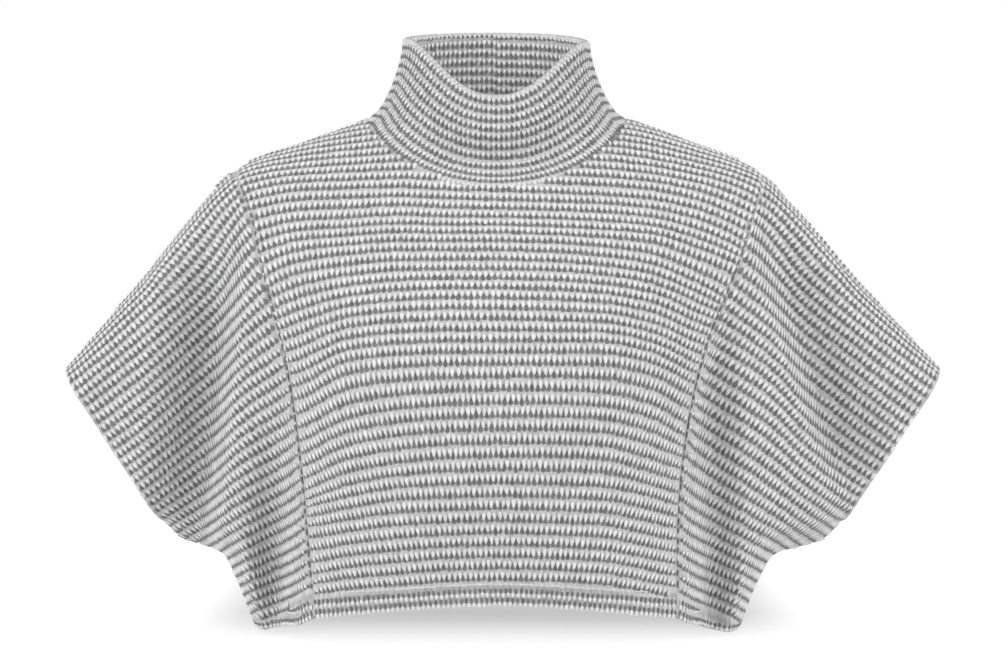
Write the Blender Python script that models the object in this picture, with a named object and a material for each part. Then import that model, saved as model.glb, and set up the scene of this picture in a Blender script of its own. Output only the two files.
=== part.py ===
"""Knit shrug: a cropped pullover cape with a funnel collar and short wide sleeves cut in one
with its sides. It stands filled out, as worn, with nothing inside.

Five pieces are cut and sewn: a collar, a front panel, a back panel and two wings. A wing is the
sleeve and the side of the body in one, sewn to itself under the arm and down the side.

Metres, +Z up. -Y is the front and +X the wearer's left. The origin is the middle of the neck
seam's ring at the height where the collar meets the shoulders.
"""

import math

import bmesh
import bpy
import numpy as np
from mathutils import kdtree

for leftover in list(bpy.data.objects):
    bpy.data.objects.remove(leftover)

# Driving dimensions. All lengths in the tables and below are millimetres, turned to metres by MM.
MM = 0.001
CLOTH = 2.5
COLLAR_WALL = 5.0
HEM_WALL = 4.6
CUFF_WALL = 3.6
SEAM_GAP = 0.3
COLLAR_GAP = 0.45

NECK_X = -2.0
NECK_HALF_WIDTH = 101.5
NECK_FRONT = 88.0
NECK_BACK = 62.0
NECK_SIDE_Z = 2.5
NECK_FRONT_DROP = 53.5
NECK_BACK_RISE = 7.5

COLLAR_HALF_WIDTH = 73.0
COLLAR_FRONT = 58.0
COLLAR_BACK = 58.0
COLLAR_SIDE_Z = 65.0
COLLAR_FRONT_DROP = 45.0
COLLAR_BACK_RISE = 7.0
COLLAR_LEAN = 0.76
COLLAR_RIM = 1.4

SHOULDER_X = 206.0
CUFF_TOP_X = {-1: 338.5, 1: 344.5}
CUFF_TURN = 30.0
UNDERARM_TURN = 34.0
SIDE_TURN = 42.0
SIDE_SEAM_FORWARD = 12.0

# Shares of the way down a panel's edge: where the neck seam ends at the centre line, and where
# the open cuff ends and the underarm seam starts.
NECK_DOWN = 0.14
CUFF_DOWN = 0.58
HEM_DOWN = 0.957

RIGHT = -1
LEFT = 1
FRONT = -1
BACK = 1


def table(columns, *rows):
    """A short table with named columns, a row for each section or fold."""
    return dict(zip(columns.split(), np.array(rows, float).T))


# Shoulder and overarm line, seen from the front. Height at each distance from the middle.
RIDGE = table(
    "x right left",
    (92, 5.0, 5.0),
    (110, 0.5, 0.0),
    (143, -12.7, -12.3),
    (165, -20.0, -20.5),
    (188, -28.0, -29.5),
    (206, -37.4, -40.5),
    (222, -52.2, -56.8),
    (242, -76.8, -79.2),
    (272, -114.3, -114.7),
    (305, -153.4, -150.2),
    (345, -200.2, -192.7),
)

# Seam between a panel and a wing, from the shoulder down to the hem.
SEAM = table(
    "down right left back_x z front back",
    (0.00, 206.0, 206.0, 206.0, -38.0, 0.0, 0.0),
    (0.035, 203.5, 204.0, 203.0, -41.5, -23.0, 20.0),
    (0.07, 199.0, 201.0, 198.0, -48.5, -41.0, 36.0),
    (0.14, 189.0, 193.5, 188.0, -72.0, -63.0, 53.0),
    (0.22, 181.0, 183.5, 180.0, -103.0, -82.0, 66.0),
    (0.30, 173.0, 171.0, 172.0, -134.0, -94.0, 74.0),
    (0.40, 163.0, 156.5, 162.0, -170.0, -102.5, 79.0),
    (0.50, 156.0, 147.0, 155.0, -206.0, -107.5, 81.0),
    (0.60, 151.0, 140.5, 150.0, -241.0, -111.0, 82.0),
    (0.70, 147.0, 136.5, 146.0, -275.0, -114.5, 82.0),
    (0.80, 144.0, 134.5, 143.0, -308.0, -118.0, 81.0),
    (0.90, 141.0, 134.0, 141.0, -341.0, -121.0, 80.0),
    (1.00, 138.0, 134.0, 139.0, -373.0, -123.0, 78.0),
)

# Centre line of the front and of the back, from the neck seam down to the hem.
CENTRE = table(
    "down front_z front back_z back",
    (0.14, -51.0, -88.0, 10.0, 62.0),
    (0.22, -84.0, -115.0, -28.0, 82.0),
    (0.30, -115.0, -137.0, -68.0, 95.0),
    (0.40, -151.0, -157.0, -112.0, 101.0),
    (0.50, -187.0, -168.0, -155.0, 102.5),
    (0.60, -222.0, -172.0, -197.0, 100.0),
    (0.70, -257.0, -171.0, -238.0, 96.0),
    (0.80, -291.0, -166.5, -278.0, 92.0),
    (0.90, -327.0, -158.5, -317.0, 89.0),
    (1.00, -361.0, -148.0, -355.0, 87.0),
)

# Outer edge of a wing: down the cuff, along the underarm and down the side to the hem. The last
# two columns are how deep the cloth stands just before it turns in to that edge.
EDGE = table(
    "down right left z front back",
    (0.00, 338.5, 344.5, -192.0, -44.0, 40.0),
    (0.13, 319.5, 326.0, -219.0, -44.0, 40.0),
    (0.29, 297.5, 303.0, -254.0, -44.0, 40.0),
    (0.45, 275.0, 281.0, -288.5, -44.0, 40.0),
    (0.58, 260.0, 265.5, -313.5, -44.0, 40.0),
    (0.63, 246.0, 251.5, -326.5, -48.0, 43.0),
    (0.69, 229.0, 235.0, -331.5, -53.0, 47.0),
    (0.74, 215.0, 215.0, -337.2, -58.0, 50.0),
    (0.80, 206.5, 204.5, -352.0, -66.0, 54.0),
    (0.90, 197.0, 194.5, -373.0, -76.0, 58.0),
    (1.00, 189.5, 187.5, -391.0, -80.0, 60.0),
)

# Hem of a wing, from the panel's seam out to the side. It hangs lower than the panels' hems.
WING_HEM = table(
    "out front back",
    (0.0, -373.0, -373.0),
    (0.3, -380.3, -379.0),
    (0.6, -386.3, -385.0),
    (0.85, -391.5, -389.0),
    (1.0, -391.0, -391.0),
)

# The largest folds of the wings: a steep wall towards the body, a valley, and a slow release
# towards the arm. The valley runs from (x_start, z_start) to (x_end, z_end).
FOLDS = table(
    "side face x_start x_end z_start z_full z_fade z_end depth wall release",
    (RIGHT, FRONT, 206, 240, -42, -180, -260, -348, 33, 24, 48),
    (LEFT, FRONT, 192, 286, -46, -150, -210, -315, 27, 24, 46),
    (RIGHT, FRONT, 166, 170, -170, -350, -395, -420, 26, 22, 28),
    (LEFT, FRONT, 156, 162, -90, -260, -395, -420, 25, 22, 28),
    (RIGHT, BACK, 210, 222, -45, -170, -300, -345, 26, 26, 60),
    (LEFT, BACK, 210, 228, -45, -160, -290, -345, 26, 26, 60),
)

# Where the points of the walls lie, as shares of the way down, across a panel and out a wing.
DOWN = np.concatenate(
    (
        NECK_DOWN * (1 - np.linspace(1.0, 0.0, 9) ** (1 / 1.5)),
        (0.19, 0.245, 0.30, 0.355, 0.41, 0.465, 0.515, 0.555, CUFF_DOWN, 0.63, 0.685, 0.74),
        (0.79, 0.84, 0.89, 0.93, HEM_DOWN - 0.008, HEM_DOWN, 1.0),
    )
)
ACROSS = np.array((0.0, 0.14, 0.28, 0.42, 0.55, 0.66, 0.76, 0.84, 0.91, 0.96, 1.0))
OUT = np.array(
    (0.0, 0.07, 0.14, 0.21, 0.28, 0.35, 0.42, 0.50, 0.58, 0.66, 0.74, 0.82, 0.89, 0.945, 0.98, 1.0)
)
COLLAR_UP = np.array((0.0, 0.05, 0.12, 0.24, 0.40, 0.56, 0.73, 0.88, 0.97, 1.0))


def smooth(xs, ys, at):
    """A curve through a table's column that bends without overshoot."""
    steps = np.diff(xs)
    rise = np.diff(ys) / steps
    slope = np.concatenate((rise[:1], np.zeros(len(xs) - 2), rise[-1:]))
    same_way = rise[:-1] * rise[1:] > 0
    both = np.where(same_way, rise[:-1] + rise[1:], 1.0)
    slope[1:-1] = np.where(same_way, 2 * rise[:-1] * rise[1:] / both, 0.0)
    i = np.clip(np.searchsorted(xs, at, side="right") - 1, 0, len(xs) - 2)
    t = (at - xs[i]) / steps[i]
    start = (1 + 2 * t) * (1 - t) ** 2 * ys[i] + t * (1 - t) ** 2 * steps[i] * slope[i]
    end = t * t * (3 - 2 * t) * ys[i + 1] + t * t * (t - 1) * steps[i] * slope[i + 1]
    return start + end


def ease(t):
    t = np.clip(t, 0.0, 1.0)
    return t * t * (3 - 2 * t)


def quarter_turn(t):
    """Rises like a quarter of an ellipse, for cloth that rounds over into an edge."""
    return np.sqrt(1 - (1 - np.clip(t, 0.0, 1.0)) ** 2)


def side_name(side):
    return "left" if side == LEFT else "right"


def ridge_z(side, x):
    return smooth(RIDGE["x"], RIDGE[side_name(side)], x)


def neck_ring(side, face, turn):
    """Neck seam. turn is 0 at the shoulder and 90 degrees at the centre line."""
    x = NECK_X + side * NECK_HALF_WIDTH * np.cos(turn)
    if face == FRONT:
        y = -NECK_FRONT * np.sin(turn)
        z = NECK_SIDE_Z - NECK_FRONT_DROP * np.sin(turn) ** 1.5
    else:
        y = NECK_BACK * np.sin(turn)
        z = NECK_SIDE_Z + NECK_BACK_RISE * np.sin(turn) ** 2
    return x, y, z


def collar_top(side, face, turn):
    x = NECK_X + side * COLLAR_HALF_WIDTH * np.cos(turn) ** 0.9
    if face == FRONT:
        y = -COLLAR_FRONT * np.sin(turn) ** 0.9
        z = COLLAR_SIDE_Z - COLLAR_FRONT_DROP * np.sin(turn) ** 3.5
    else:
        y = COLLAR_BACK * np.sin(turn) ** 0.9
        z = COLLAR_SIDE_Z + COLLAR_BACK_RISE * np.sin(turn)
    return x, y, z


def seam_line(side, face, down):
    column = side_name(side) if face == FRONT else "back_x"
    x = side * smooth(SEAM["down"], SEAM[column], down)
    y = smooth(SEAM["down"], SEAM["front" if face == FRONT else "back"], down)
    shoulder = ridge_z(side, SHOULDER_X) - SEAM["z"][0]
    z = smooth(SEAM["down"], SEAM["z"], down) + shoulder * (1 - ease(down / 0.12))
    return x, y, z


def inner_line(side, face, down):
    """A panel's inner edge: round the neck seam to the centre line, then straight down. It slows
    to a stop and starts again where it turns the corner, which leaves no crease across the panel.
    """
    turn = (1 - np.maximum(1 - down / NECK_DOWN, 0.0) ** 1.5) * math.pi / 2
    x, y, z = neck_ring(side, face, turn)
    below = np.maximum(down - NECK_DOWN, 0.0) / (1 - NECK_DOWN)
    below = NECK_DOWN + (1 - NECK_DOWN) * 1.08 * below**2 / (below + 0.08)
    name = "front" if face == FRONT else "back"
    on_centre = down > NECK_DOWN
    x = np.where(on_centre, 0.0, x)
    y = np.where(on_centre, smooth(CENTRE["down"], CENTRE[name], below), y)
    z = np.where(on_centre, smooth(CENTRE["down"], CENTRE[name + "_z"], below), z)
    # The centre line leaves the neck seam at its middle and settles on the garment's own middle.
    x = np.where(on_centre, NECK_X * (1 - ease((down - NECK_DOWN) / 0.5)), x)
    return x, y, z


def panel_points(side, face, down, across):
    """Half of the front or of the back panel, as rows from the shoulder down to the hem."""
    down, across = np.meshgrid(down, across, indexing="ij")
    x_in, y_in, z_in = inner_line(side, face, down)
    x_out, y_out, z_out = seam_line(side, face, down)
    bulge = 1.0 + ease(down / 0.3) * (2.0 if face == FRONT else 1.2)
    sag = 1.0 + ease(down / 0.3) * 1.2 - ease((down - 0.7) / 0.3) * 0.6
    x = x_in + (x_out - x_in) * across
    y = y_in + (y_out - y_in) * across**bulge
    z = z_in + (z_out - z_in) * across**sag
    # The top edge follows the shoulder line between its two ends.
    start, end = NECK_X + side * NECK_HALF_WIDTH, side * SHOULDER_X
    top = ridge_z(side, np.abs(start + (end - start) * across))
    straight = NECK_SIDE_Z + (ridge_z(side, SHOULDER_X) - NECK_SIDE_Z) * across
    miss = top - straight
    first = ridge_z(side, abs(start)) - NECK_SIDE_Z
    z = z + (miss - first * (1 - across)) * (1 - ease(down / 0.25))
    return np.stack((x, y, z), axis=-1)


def side_line(side, down):
    name = side_name(side)
    x = side * smooth(EDGE["down"], EDGE[name], down)
    z = smooth(EDGE["down"], EDGE["z"], down)
    return x, z


def fold_depth(side, face, x, z):
    """How far the wing's folds push the cloth in, at each point seen from the front."""
    depth = np.zeros_like(x)
    for i in range(len(FOLDS["side"])):
        fold = {name: column[i] for name, column in FOLDS.items()}
        if fold["side"] != side or fold["face"] != face:
            continue
        along = (fold["z_start"] - z) / (fold["z_start"] - fold["z_end"])
        valley = fold["x_start"] + (fold["x_end"] - fold["x_start"]) * np.clip(along, 0, 1)
        off = np.abs(x) - valley
        width = np.where(off < 0, fold["wall"], fold["release"])
        rise = ease((fold["z_start"] - z) / (fold["z_start"] - fold["z_full"]))
        fade = 1 - ease((fold["z_fade"] - z) / (fold["z_fade"] - fold["z_end"]))
        depth += fold["depth"] * rise * fade * (1 - ease(np.abs(off) / width))
    return depth


def wing_points(side, face, down, out):
    """Front or back half of a wing, as rows from the overarm line down to the hem."""
    down, out = np.meshgrid(down, out, indexing="ij")
    x_seam, y_seam, z_seam = seam_line(side, face, down)
    x_edge, z_edge = side_line(side, down)
    x_ridge = side * (SHOULDER_X + (CUFF_TOP_X[side] - SHOULDER_X) * out)
    z_ridge = ridge_z(side, np.abs(x_ridge))
    x_hem_seam, _, z_hem_seam = seam_line(side, face, np.float64(1.0))
    x_hem_side, z_hem_side = side_line(side, np.float64(1.0))
    x_hem = x_hem_seam + (x_hem_side - x_hem_seam) * out
    z_hem = smooth(WING_HEM["out"], WING_HEM["front" if face == FRONT else "back"], out)

    def filled(seam, edge, ridge, hem, corners):
        """The surface between four edges: both ways across, less what they count twice."""
        both = (1 - out) * seam + out * edge + (1 - down) * ridge + down * hem
        twice = (1 - down) * ((1 - out) * corners[0] + out * corners[1])
        return both - twice - down * ((1 - out) * corners[2] + out * corners[3])

    cuff_top_z = ridge_z(side, CUFF_TOP_X[side])
    z_edge = z_edge + (cuff_top_z - EDGE["z"][0]) * (1 - ease(down / CUFF_DOWN))
    x_corners = (side * SHOULDER_X, side * CUFF_TOP_X[side], x_hem_seam, x_hem_side)
    z_corners = (ridge_z(side, SHOULDER_X), cuff_top_z, z_hem_seam, z_hem_side)
    x = filled(x_seam, x_edge, x_ridge, x_hem, x_corners)
    z = filled(z_seam, z_edge, z_ridge, z_hem, z_corners)

    cuff_end_x, cuff_end_z = side_line(side, np.float64(CUFF_DOWN))
    cuff_length = math.hypot(CUFF_TOP_X[side] - abs(cuff_end_x), cuff_top_z - cuff_end_z)
    over_top = quarter_turn(down / CUFF_DOWN * cuff_length / CUFF_TURN)
    deep = smooth(EDGE["down"], EDGE["front" if face == FRONT else "back"], down) * over_top
    y = (1 - out) * y_seam + out * deep
    y = y - face * fold_depth(side, face, x, z) * ease(out / 0.07) * ease(down / 0.1)

    # Towards the underarm and the side seam, front and back round in until they meet.
    marks = np.linspace(CUFF_DOWN, 1.0, 90)
    mark_x, mark_z = side_line(side, marks)
    away = np.hypot(x[..., None] - mark_x, z[..., None] - mark_z)
    nearest = marks[np.argmin(away, axis=-1)]
    away = np.where((out == 1.0) & (down >= CUFF_DOWN), 0.0, np.min(away, axis=-1))
    turn = UNDERARM_TURN + (SIDE_TURN - UNDERARM_TURN) * ease((nearest - 0.66) / 0.16)
    meet = -SIDE_SEAM_FORWARD * ease((nearest - 0.74) / (1.0 - 0.74))
    y = meet + (y - meet) * quarter_turn(away / turn)
    return np.stack((x, y, z), axis=-1)


def collar_points(side, face, turn, up):
    """A quarter of the collar's outside, flaring from its top edge down into the shoulders."""
    turn, up = np.meshgrid(turn, up, indexing="ij")
    x0, y0, z0 = neck_ring(side, face, turn)
    x1, y1, z1 = collar_top(side, face, turn)
    # Most of the flare is an even lean. The rest is the turn into the shoulders at the seam.
    flare = COLLAR_LEAN * (1 - up) ** 1.7 + (1 - COLLAR_LEAN) * (1 - up) ** 14
    return np.stack((x1 + (x0 - x1) * flare, y1 + (y0 - y1) * flare, z0 + (z1 - z0) * up), axis=-1)


def looks_out(points, outward):
    """Whether the faces of a grid of points look the way that is outwards there."""
    across = points[:-1, 1:] - points[:-1, :-1]
    along = points[1:, :-1] - points[:-1, :-1]
    return (np.cross(across, along) * outward).sum() > 0


def grid_into(bm, points, outward):
    """Adds a grid of faces through these points and gives back its vertices, row by row."""
    rows, columns = points.shape[:2]
    known = set(bm.faces)
    made = bmesh.ops.create_grid(bm, x_segments=columns - 1, y_segments=rows - 1, size=1.0)
    for vert, point in zip(made["verts"], points.reshape(-1, 3)):
        vert.co = point * MM
    if not looks_out(points, outward):
        bmesh.ops.reverse_faces(bm, faces=[face for face in bm.faces if face not in known])
    return made["verts"]


def drawn_back(points, normals, edge, beside, gap):
    """Moves one edge of a piece back along the cloth by its half of the gap at a seam."""
    line = points[edge]
    back = np.cross(normals[edge], np.gradient(line, axis=0))
    back /= np.linalg.norm(back, axis=-1, keepdims=True)
    if (back * (points[beside] - line)).sum() < 0:
        back = -back
    moved = points.copy()
    moved[edge] = line + back * gap
    return moved


# The collar's thick edge turns more at the neck seam, so it stands back a little further.
SEAM_SHARE = {
    "collar": COLLAR_GAP - SEAM_GAP / 2,
    "front_panel": SEAM_GAP / 2,
    "back_panel": SEAM_GAP / 2,
    "wing_right": SEAM_GAP / 2,
    "wing_left": SEAM_GAP / 2,
}

# Every piece as grids of points on its outside, with the thickness of its wall at each point.
NECK_ROWS = int(np.sum(DOWN <= NECK_DOWN + 1e-9))
RING_TURN = np.linspace(0.0, math.pi / 2, NECK_ROWS)
grids = []
for side in (RIGHT, LEFT):
    for face in (FRONT, BACK):
        outward = np.array((0.0, float(face), 0.0))

        points = panel_points(side, face, DOWN, ACROSS)
        wall = np.where(DOWN[:, None] >= HEM_DOWN, HEM_WALL, CLOTH) * np.ones(len(ACROSS))
        neck = ((slice(0, NECK_ROWS), 0), (slice(0, NECK_ROWS), 1))
        shoulder = ((0, slice(None)), (1, slice(None)))
        armhole = ((slice(None), -1), (slice(None), -2))
        name = "front_panel" if face == FRONT else "back_panel"
        grids.append((name, points, outward, wall, (neck, shoulder, armhole)))

        points = wing_points(side, face, DOWN, OUT)
        wall = np.where(DOWN[:, None] >= HEM_DOWN, HEM_WALL, CLOTH) * np.ones(len(OUT))
        cuff = (DOWN[:, None] <= CUFF_DOWN) & (OUT[None, :] >= 0.945)
        wall = np.where(cuff, CUFF_WALL, wall)
        armhole = ((slice(None), 0), (slice(None), 1))
        grids.append(("wing_" + side_name(side), points, outward, wall, (armhole,)))

        points = collar_points(side, face, RING_TURN, COLLAR_UP)
        wall = np.where(COLLAR_UP == 1.0, COLLAR_WALL - 2 * COLLAR_RIM, COLLAR_WALL)
        wall = wall * np.ones((NECK_ROWS, 1))
        neck = ((slice(None), 0), (slice(None), 1))
        grids.append(("collar", points, outward, wall, (neck,)))

# All the pieces sewn edge to edge as one skin, only to learn which way its surface faces. Pieces
# that meet at a seam then turn their thickness the same way there and never cross.
skin = bmesh.new()
for name, points, outward, wall, edges in grids:
    grid_into(skin, points, outward)
bmesh.ops.remove_doubles(skin, verts=skin.verts[:], dist=0.02 * MM)
skin.normal_update()
places = kdtree.KDTree(len(skin.verts))
for index, vert in enumerate(skin.verts):
    places.insert(vert.co, index)
places.balance()
skin.verts.ensure_lookup_table()
skin_normals = np.array([vert.normal for vert in skin.verts])
skin.free()

shrug = bpy.data.collections.new("knit_shrug")
bpy.context.scene.collection.children.link(shrug)
wool = bpy.data.materials.new("wool_knit")
wool.diffuse_color = (0.62, 0.62, 0.62, 1.0)

for piece in ("collar", "front_panel", "back_panel", "wing_right", "wing_left"):
    bm = bmesh.new()
    inside = bm.verts.layers.float_vector.new("inside")
    for name, points, outward, wall, edges in grids:
        if name != piece:
            continue
        found = [places.find(point * MM)[1] for point in points.reshape(-1, 3)]
        normals = skin_normals[found].reshape(points.shape)
        for edge, beside in edges:
            points = drawn_back(points, normals, edge, beside, SEAM_SHARE[piece])
        if piece == "collar":
            points = points - normals * np.where(COLLAR_UP == 1.0, COLLAR_RIM, 0.0)[:, None]
        within = points - normals * wall[..., None]
        for vert, place in zip(grid_into(bm, points, outward), within.reshape(-1, 3)):
            vert[inside] = place * MM
    bmesh.ops.remove_doubles(bm, verts=bm.verts[:], dist=0.25 * MM)
    outside = set(bm.verts)
    bmesh.ops.extrude_face_region(bm, geom=bm.faces[:] + bm.edges[:], use_keep_orig=True)
    for vert in bm.verts:
        if vert not in outside:
            vert.co = vert[inside]
    bm.verts.layers.float_vector.remove(inside)
    bmesh.ops.recalc_face_normals(bm, faces=bm.faces[:])
    mesh = bpy.data.meshes.new(piece)
    bm.to_mesh(mesh)
    bm.free()
    mesh.materials.append(wool)
    shrug.objects.link(bpy.data.objects.new(piece, mesh))
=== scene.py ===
"""Looks of the knit shrug: a thin shell of cloth on each of the part's pieces, with the stitches of
its two-tone slip-stitch knit laid on it row by row, its seams, its hem and its cuffs.
"""

import math

import bpy
import numpy as np
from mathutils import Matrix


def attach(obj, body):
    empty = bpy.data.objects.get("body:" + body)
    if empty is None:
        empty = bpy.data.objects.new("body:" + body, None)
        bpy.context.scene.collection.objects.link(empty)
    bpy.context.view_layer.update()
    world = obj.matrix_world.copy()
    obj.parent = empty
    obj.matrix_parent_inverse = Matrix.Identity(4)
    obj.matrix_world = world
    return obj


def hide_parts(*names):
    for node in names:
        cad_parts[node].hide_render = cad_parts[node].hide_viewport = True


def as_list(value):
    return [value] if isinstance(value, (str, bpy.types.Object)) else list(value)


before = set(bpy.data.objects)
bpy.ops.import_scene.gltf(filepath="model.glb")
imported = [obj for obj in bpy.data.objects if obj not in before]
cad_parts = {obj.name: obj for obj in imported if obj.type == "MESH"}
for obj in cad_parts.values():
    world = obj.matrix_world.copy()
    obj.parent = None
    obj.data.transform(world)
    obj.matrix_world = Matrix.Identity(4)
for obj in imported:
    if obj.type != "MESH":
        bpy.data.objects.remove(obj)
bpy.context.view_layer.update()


# Front panel. One piece of thick wool double knit from the shoulder seams down to the hem, between
# the wings' slanting seams. It hangs from the neck seam, stands forward over the chest and falls
# back to a hem that is turned up inside.

# Lengths are in millimetres, and MM turns them to metres.
MM = 0.001
RIGHT, LEFT = -1, 1
FRONT, BACK = -1, 1
CLOTH_WALL = 2.4
HEM_WALL = 4.6
HEM_TURN_UP = 17.0
WALL_STEP = 2.5
EDGE_ROUNDNESS = 0.92
STITCH_RISE = 0.8
STITCH_PITCH = 4.4


def table(columns, *rows):
    """A short table with named columns."""
    return dict(zip(columns.split(), np.array(rows, float).T))


def curve(xs, ys, at):
    """A curve through a table's column that bends without overshoot."""
    steps = np.diff(xs)
    rise = np.diff(ys) / steps
    slope = np.concatenate((rise[:1], np.zeros(len(xs) - 2), rise[-1:]))
    same_way = rise[:-1] * rise[1:] > 0
    both = np.where(same_way, rise[:-1] + rise[1:], 1.0)
    slope[1:-1] = np.where(same_way, 2 * rise[:-1] * rise[1:] / both, 0.0)
    i = np.clip(np.searchsorted(xs, at, side="right") - 1, 0, len(xs) - 2)
    t = (at - xs[i]) / steps[i]
    start = (1 + 2 * t) * (1 - t) ** 2 * ys[i] + t * (1 - t) ** 2 * steps[i] * slope[i]
    end = t * t * (3 - 2 * t) * ys[i + 1] + t * t * (t - 1) * steps[i] * slope[i + 1]
    return start + end


def ease(t):
    """From 0 to 1, slow at both ends."""
    t = np.clip(t, 0.0, 1.0)
    return t * t * (3 - 2 * t)


NECK_X, NECK_HALF_WIDTH, NECK_FRONT, NECK_BACK = -2.0, 101.5, 88.0, 62.0
NECK_SIDE_Z, NECK_FRONT_DROP, NECK_BACK_RISE = 2.5, 53.5, 7.5
NECK_FRONT_CURVE = 1.5
SHOULDER_X = 206.0
SHOULDER_LINE = table(
    "x right left",
    (92, 4.4, 5.0), (110, -2.4, 0.0), (143, -13.7, -12.3), (165, -20.8, -20.5),
    (188, -28.0, -29.5), (206, -37.4, -40.5), (222, -52.2, -56.8), (242, -76.8, -79.2),
    (272, -114.3, -114.7), (305, -153.4, -150.2), (345, -200.2, -192.7),
)
WING_SEAM = table(
    "down right left back_x z front back",
    (0.00, 206.0, 206.0, 206.0, -38.0, 0.0, 0.0),
    (0.035, 203.5, 204.0, 203.0, -41.5, -23.0, 20.0),
    (0.07, 199.0, 201.0, 198.0, -48.5, -41.0, 36.0),
    (0.14, 189.0, 193.5, 188.0, -72.0, -63.0, 53.0),
    (0.22, 181.0, 183.5, 180.0, -103.0, -82.0, 66.0),
    (0.30, 173.0, 171.0, 172.0, -134.0, -94.0, 74.0),
    (0.40, 163.0, 156.5, 162.0, -170.0, -102.5, 79.0),
    (0.50, 156.0, 147.0, 155.0, -206.0, -107.5, 81.0),
    (0.60, 151.0, 140.5, 150.0, -241.0, -111.0, 82.0),
    (0.70, 147.0, 136.5, 146.0, -275.0, -114.5, 82.0),
    (0.80, 144.0, 134.5, 143.0, -308.0, -118.0, 81.0),
    (0.90, 141.0, 134.0, 141.0, -341.0, -121.0, 80.0),
    (1.00, 138.0, 134.0, 139.0, -373.0, -123.0, 78.0),
)
CENTRE_LINE = table(
    "down front_z front back_z back",
    (0.14, -51.0, -88.0, 10.0, 62.0),
    (0.22, -84.0, -115.0, -28.0, 82.0),
    (0.30, -115.0, -137.0, -68.0, 95.0),
    (0.40, -151.0, -157.0, -112.0, 101.0),
    (0.50, -187.0, -168.0, -155.0, 102.5),
    (0.60, -222.0, -172.0, -197.0, 100.0),
    (0.70, -257.0, -171.0, -238.0, 96.0),
    (0.80, -291.0, -166.5, -278.0, 92.0),
    (0.90, -327.0, -158.5, -317.0, 89.0),
    (1.00, -361.0, -148.0, -355.0, 87.0),
)
# Shares of the way down: where the neck seam ends at the centre line, how far the shoulder's own line
# reaches, where the cloth is at its roundest, where it starts to fall back to the hem, and how far
# below the neck the centre line takes to come to the middle.
NECK_DOWN = 0.14
SEAM_LIFT_DOWN, SHOULDER_DOWN = 0.12, 0.25
ROUND_DOWN = 0.3
FALL_DOWN, FALL_LENGTH = 0.7, 0.3
CENTRED_WITHIN = 0.5
# How close together the lines across lie round the neck and below it, and how far the cloth bulges and
# sags between the centre line and the wing's seam.
NECK_SPACING, CENTRE_SPACING = 1.5, 0.08
BULGE = {FRONT: 2.0, BACK: 1.2}
SAG, SAG_LOST_AT_HEM = 1.2, 0.6
# Shares of the way down, close together round the shoulder and at the turned edge of the hem.
DOWN = np.concatenate(
    (
        NECK_DOWN * (1 - np.linspace(1.0, 0.0, 31) ** (1 / NECK_SPACING)),
        np.linspace(NECK_DOWN, 0.9, 76)[1:],
        np.linspace(0.9, 0.988, 14)[1:],
        (0.991, 0.9935, 0.9955, 0.997, 0.9983, 0.9993, 1.0),
    )
)
ACROSS = np.concatenate(
    (np.linspace(0, 0.93, 37), (0.945, 0.957, 0.967, 0.976, 0.984, 0.991, 1.0))
)


def side_name(side):
    return "left" if side == LEFT else "right"


def face_name(face):
    return "front" if face == FRONT else "back"


def shoulder_z(side, x):
    return curve(SHOULDER_LINE["x"], SHOULDER_LINE[side_name(side)], x)


def neck_ring(side, face, turn):
    """Neck seam. turn is 0 at the shoulder and 90 degrees at the centre line."""
    x = NECK_X + side * NECK_HALF_WIDTH * np.cos(turn)
    if face == FRONT:
        dip = np.sin(turn) ** NECK_FRONT_CURVE
        return x, -NECK_FRONT * np.sin(turn), NECK_SIDE_Z - NECK_FRONT_DROP * dip
    return x, NECK_BACK * np.sin(turn), NECK_SIDE_Z + NECK_BACK_RISE * np.sin(turn) ** 2


def wing_seam(side, face, down):
    """The seam between a panel and a wing, from the shoulder to the hem."""
    shares = WING_SEAM["down"]
    x = side * curve(shares, WING_SEAM[side_name(side) if face == FRONT else "back_x"], down)
    y = curve(shares, WING_SEAM[face_name(face)], down)
    lift = shoulder_z(side, SHOULDER_X) - WING_SEAM["z"][0]
    z = curve(shares, WING_SEAM["z"], down) + lift * (1 - ease(down / SEAM_LIFT_DOWN))
    return x, y, z


def inner_line(side, face, down):
    """A panel's inner edge: round the neck seam to the centre line, then straight down."""
    turn = (1 - np.maximum(1 - down / NECK_DOWN, 0.0) ** NECK_SPACING) * math.pi / 2
    x, y, z = neck_ring(side, face, turn)
    below = np.maximum(down - NECK_DOWN, 0.0) / (1 - NECK_DOWN)
    closer = (1 - NECK_DOWN) * (1 + CENTRE_SPACING) * below**2 / (below + CENTRE_SPACING)
    below = NECK_DOWN + closer
    name = face_name(face)
    on_centre = down > NECK_DOWN
    x = np.where(on_centre, NECK_X * (1 - ease((down - NECK_DOWN) / CENTRED_WITHIN)), x)
    y = np.where(on_centre, curve(CENTRE_LINE["down"], CENTRE_LINE[name], below), y)
    z = np.where(on_centre, curve(CENTRE_LINE["down"], CENTRE_LINE[name + "_z"], below), z)
    return x, y, z


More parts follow.
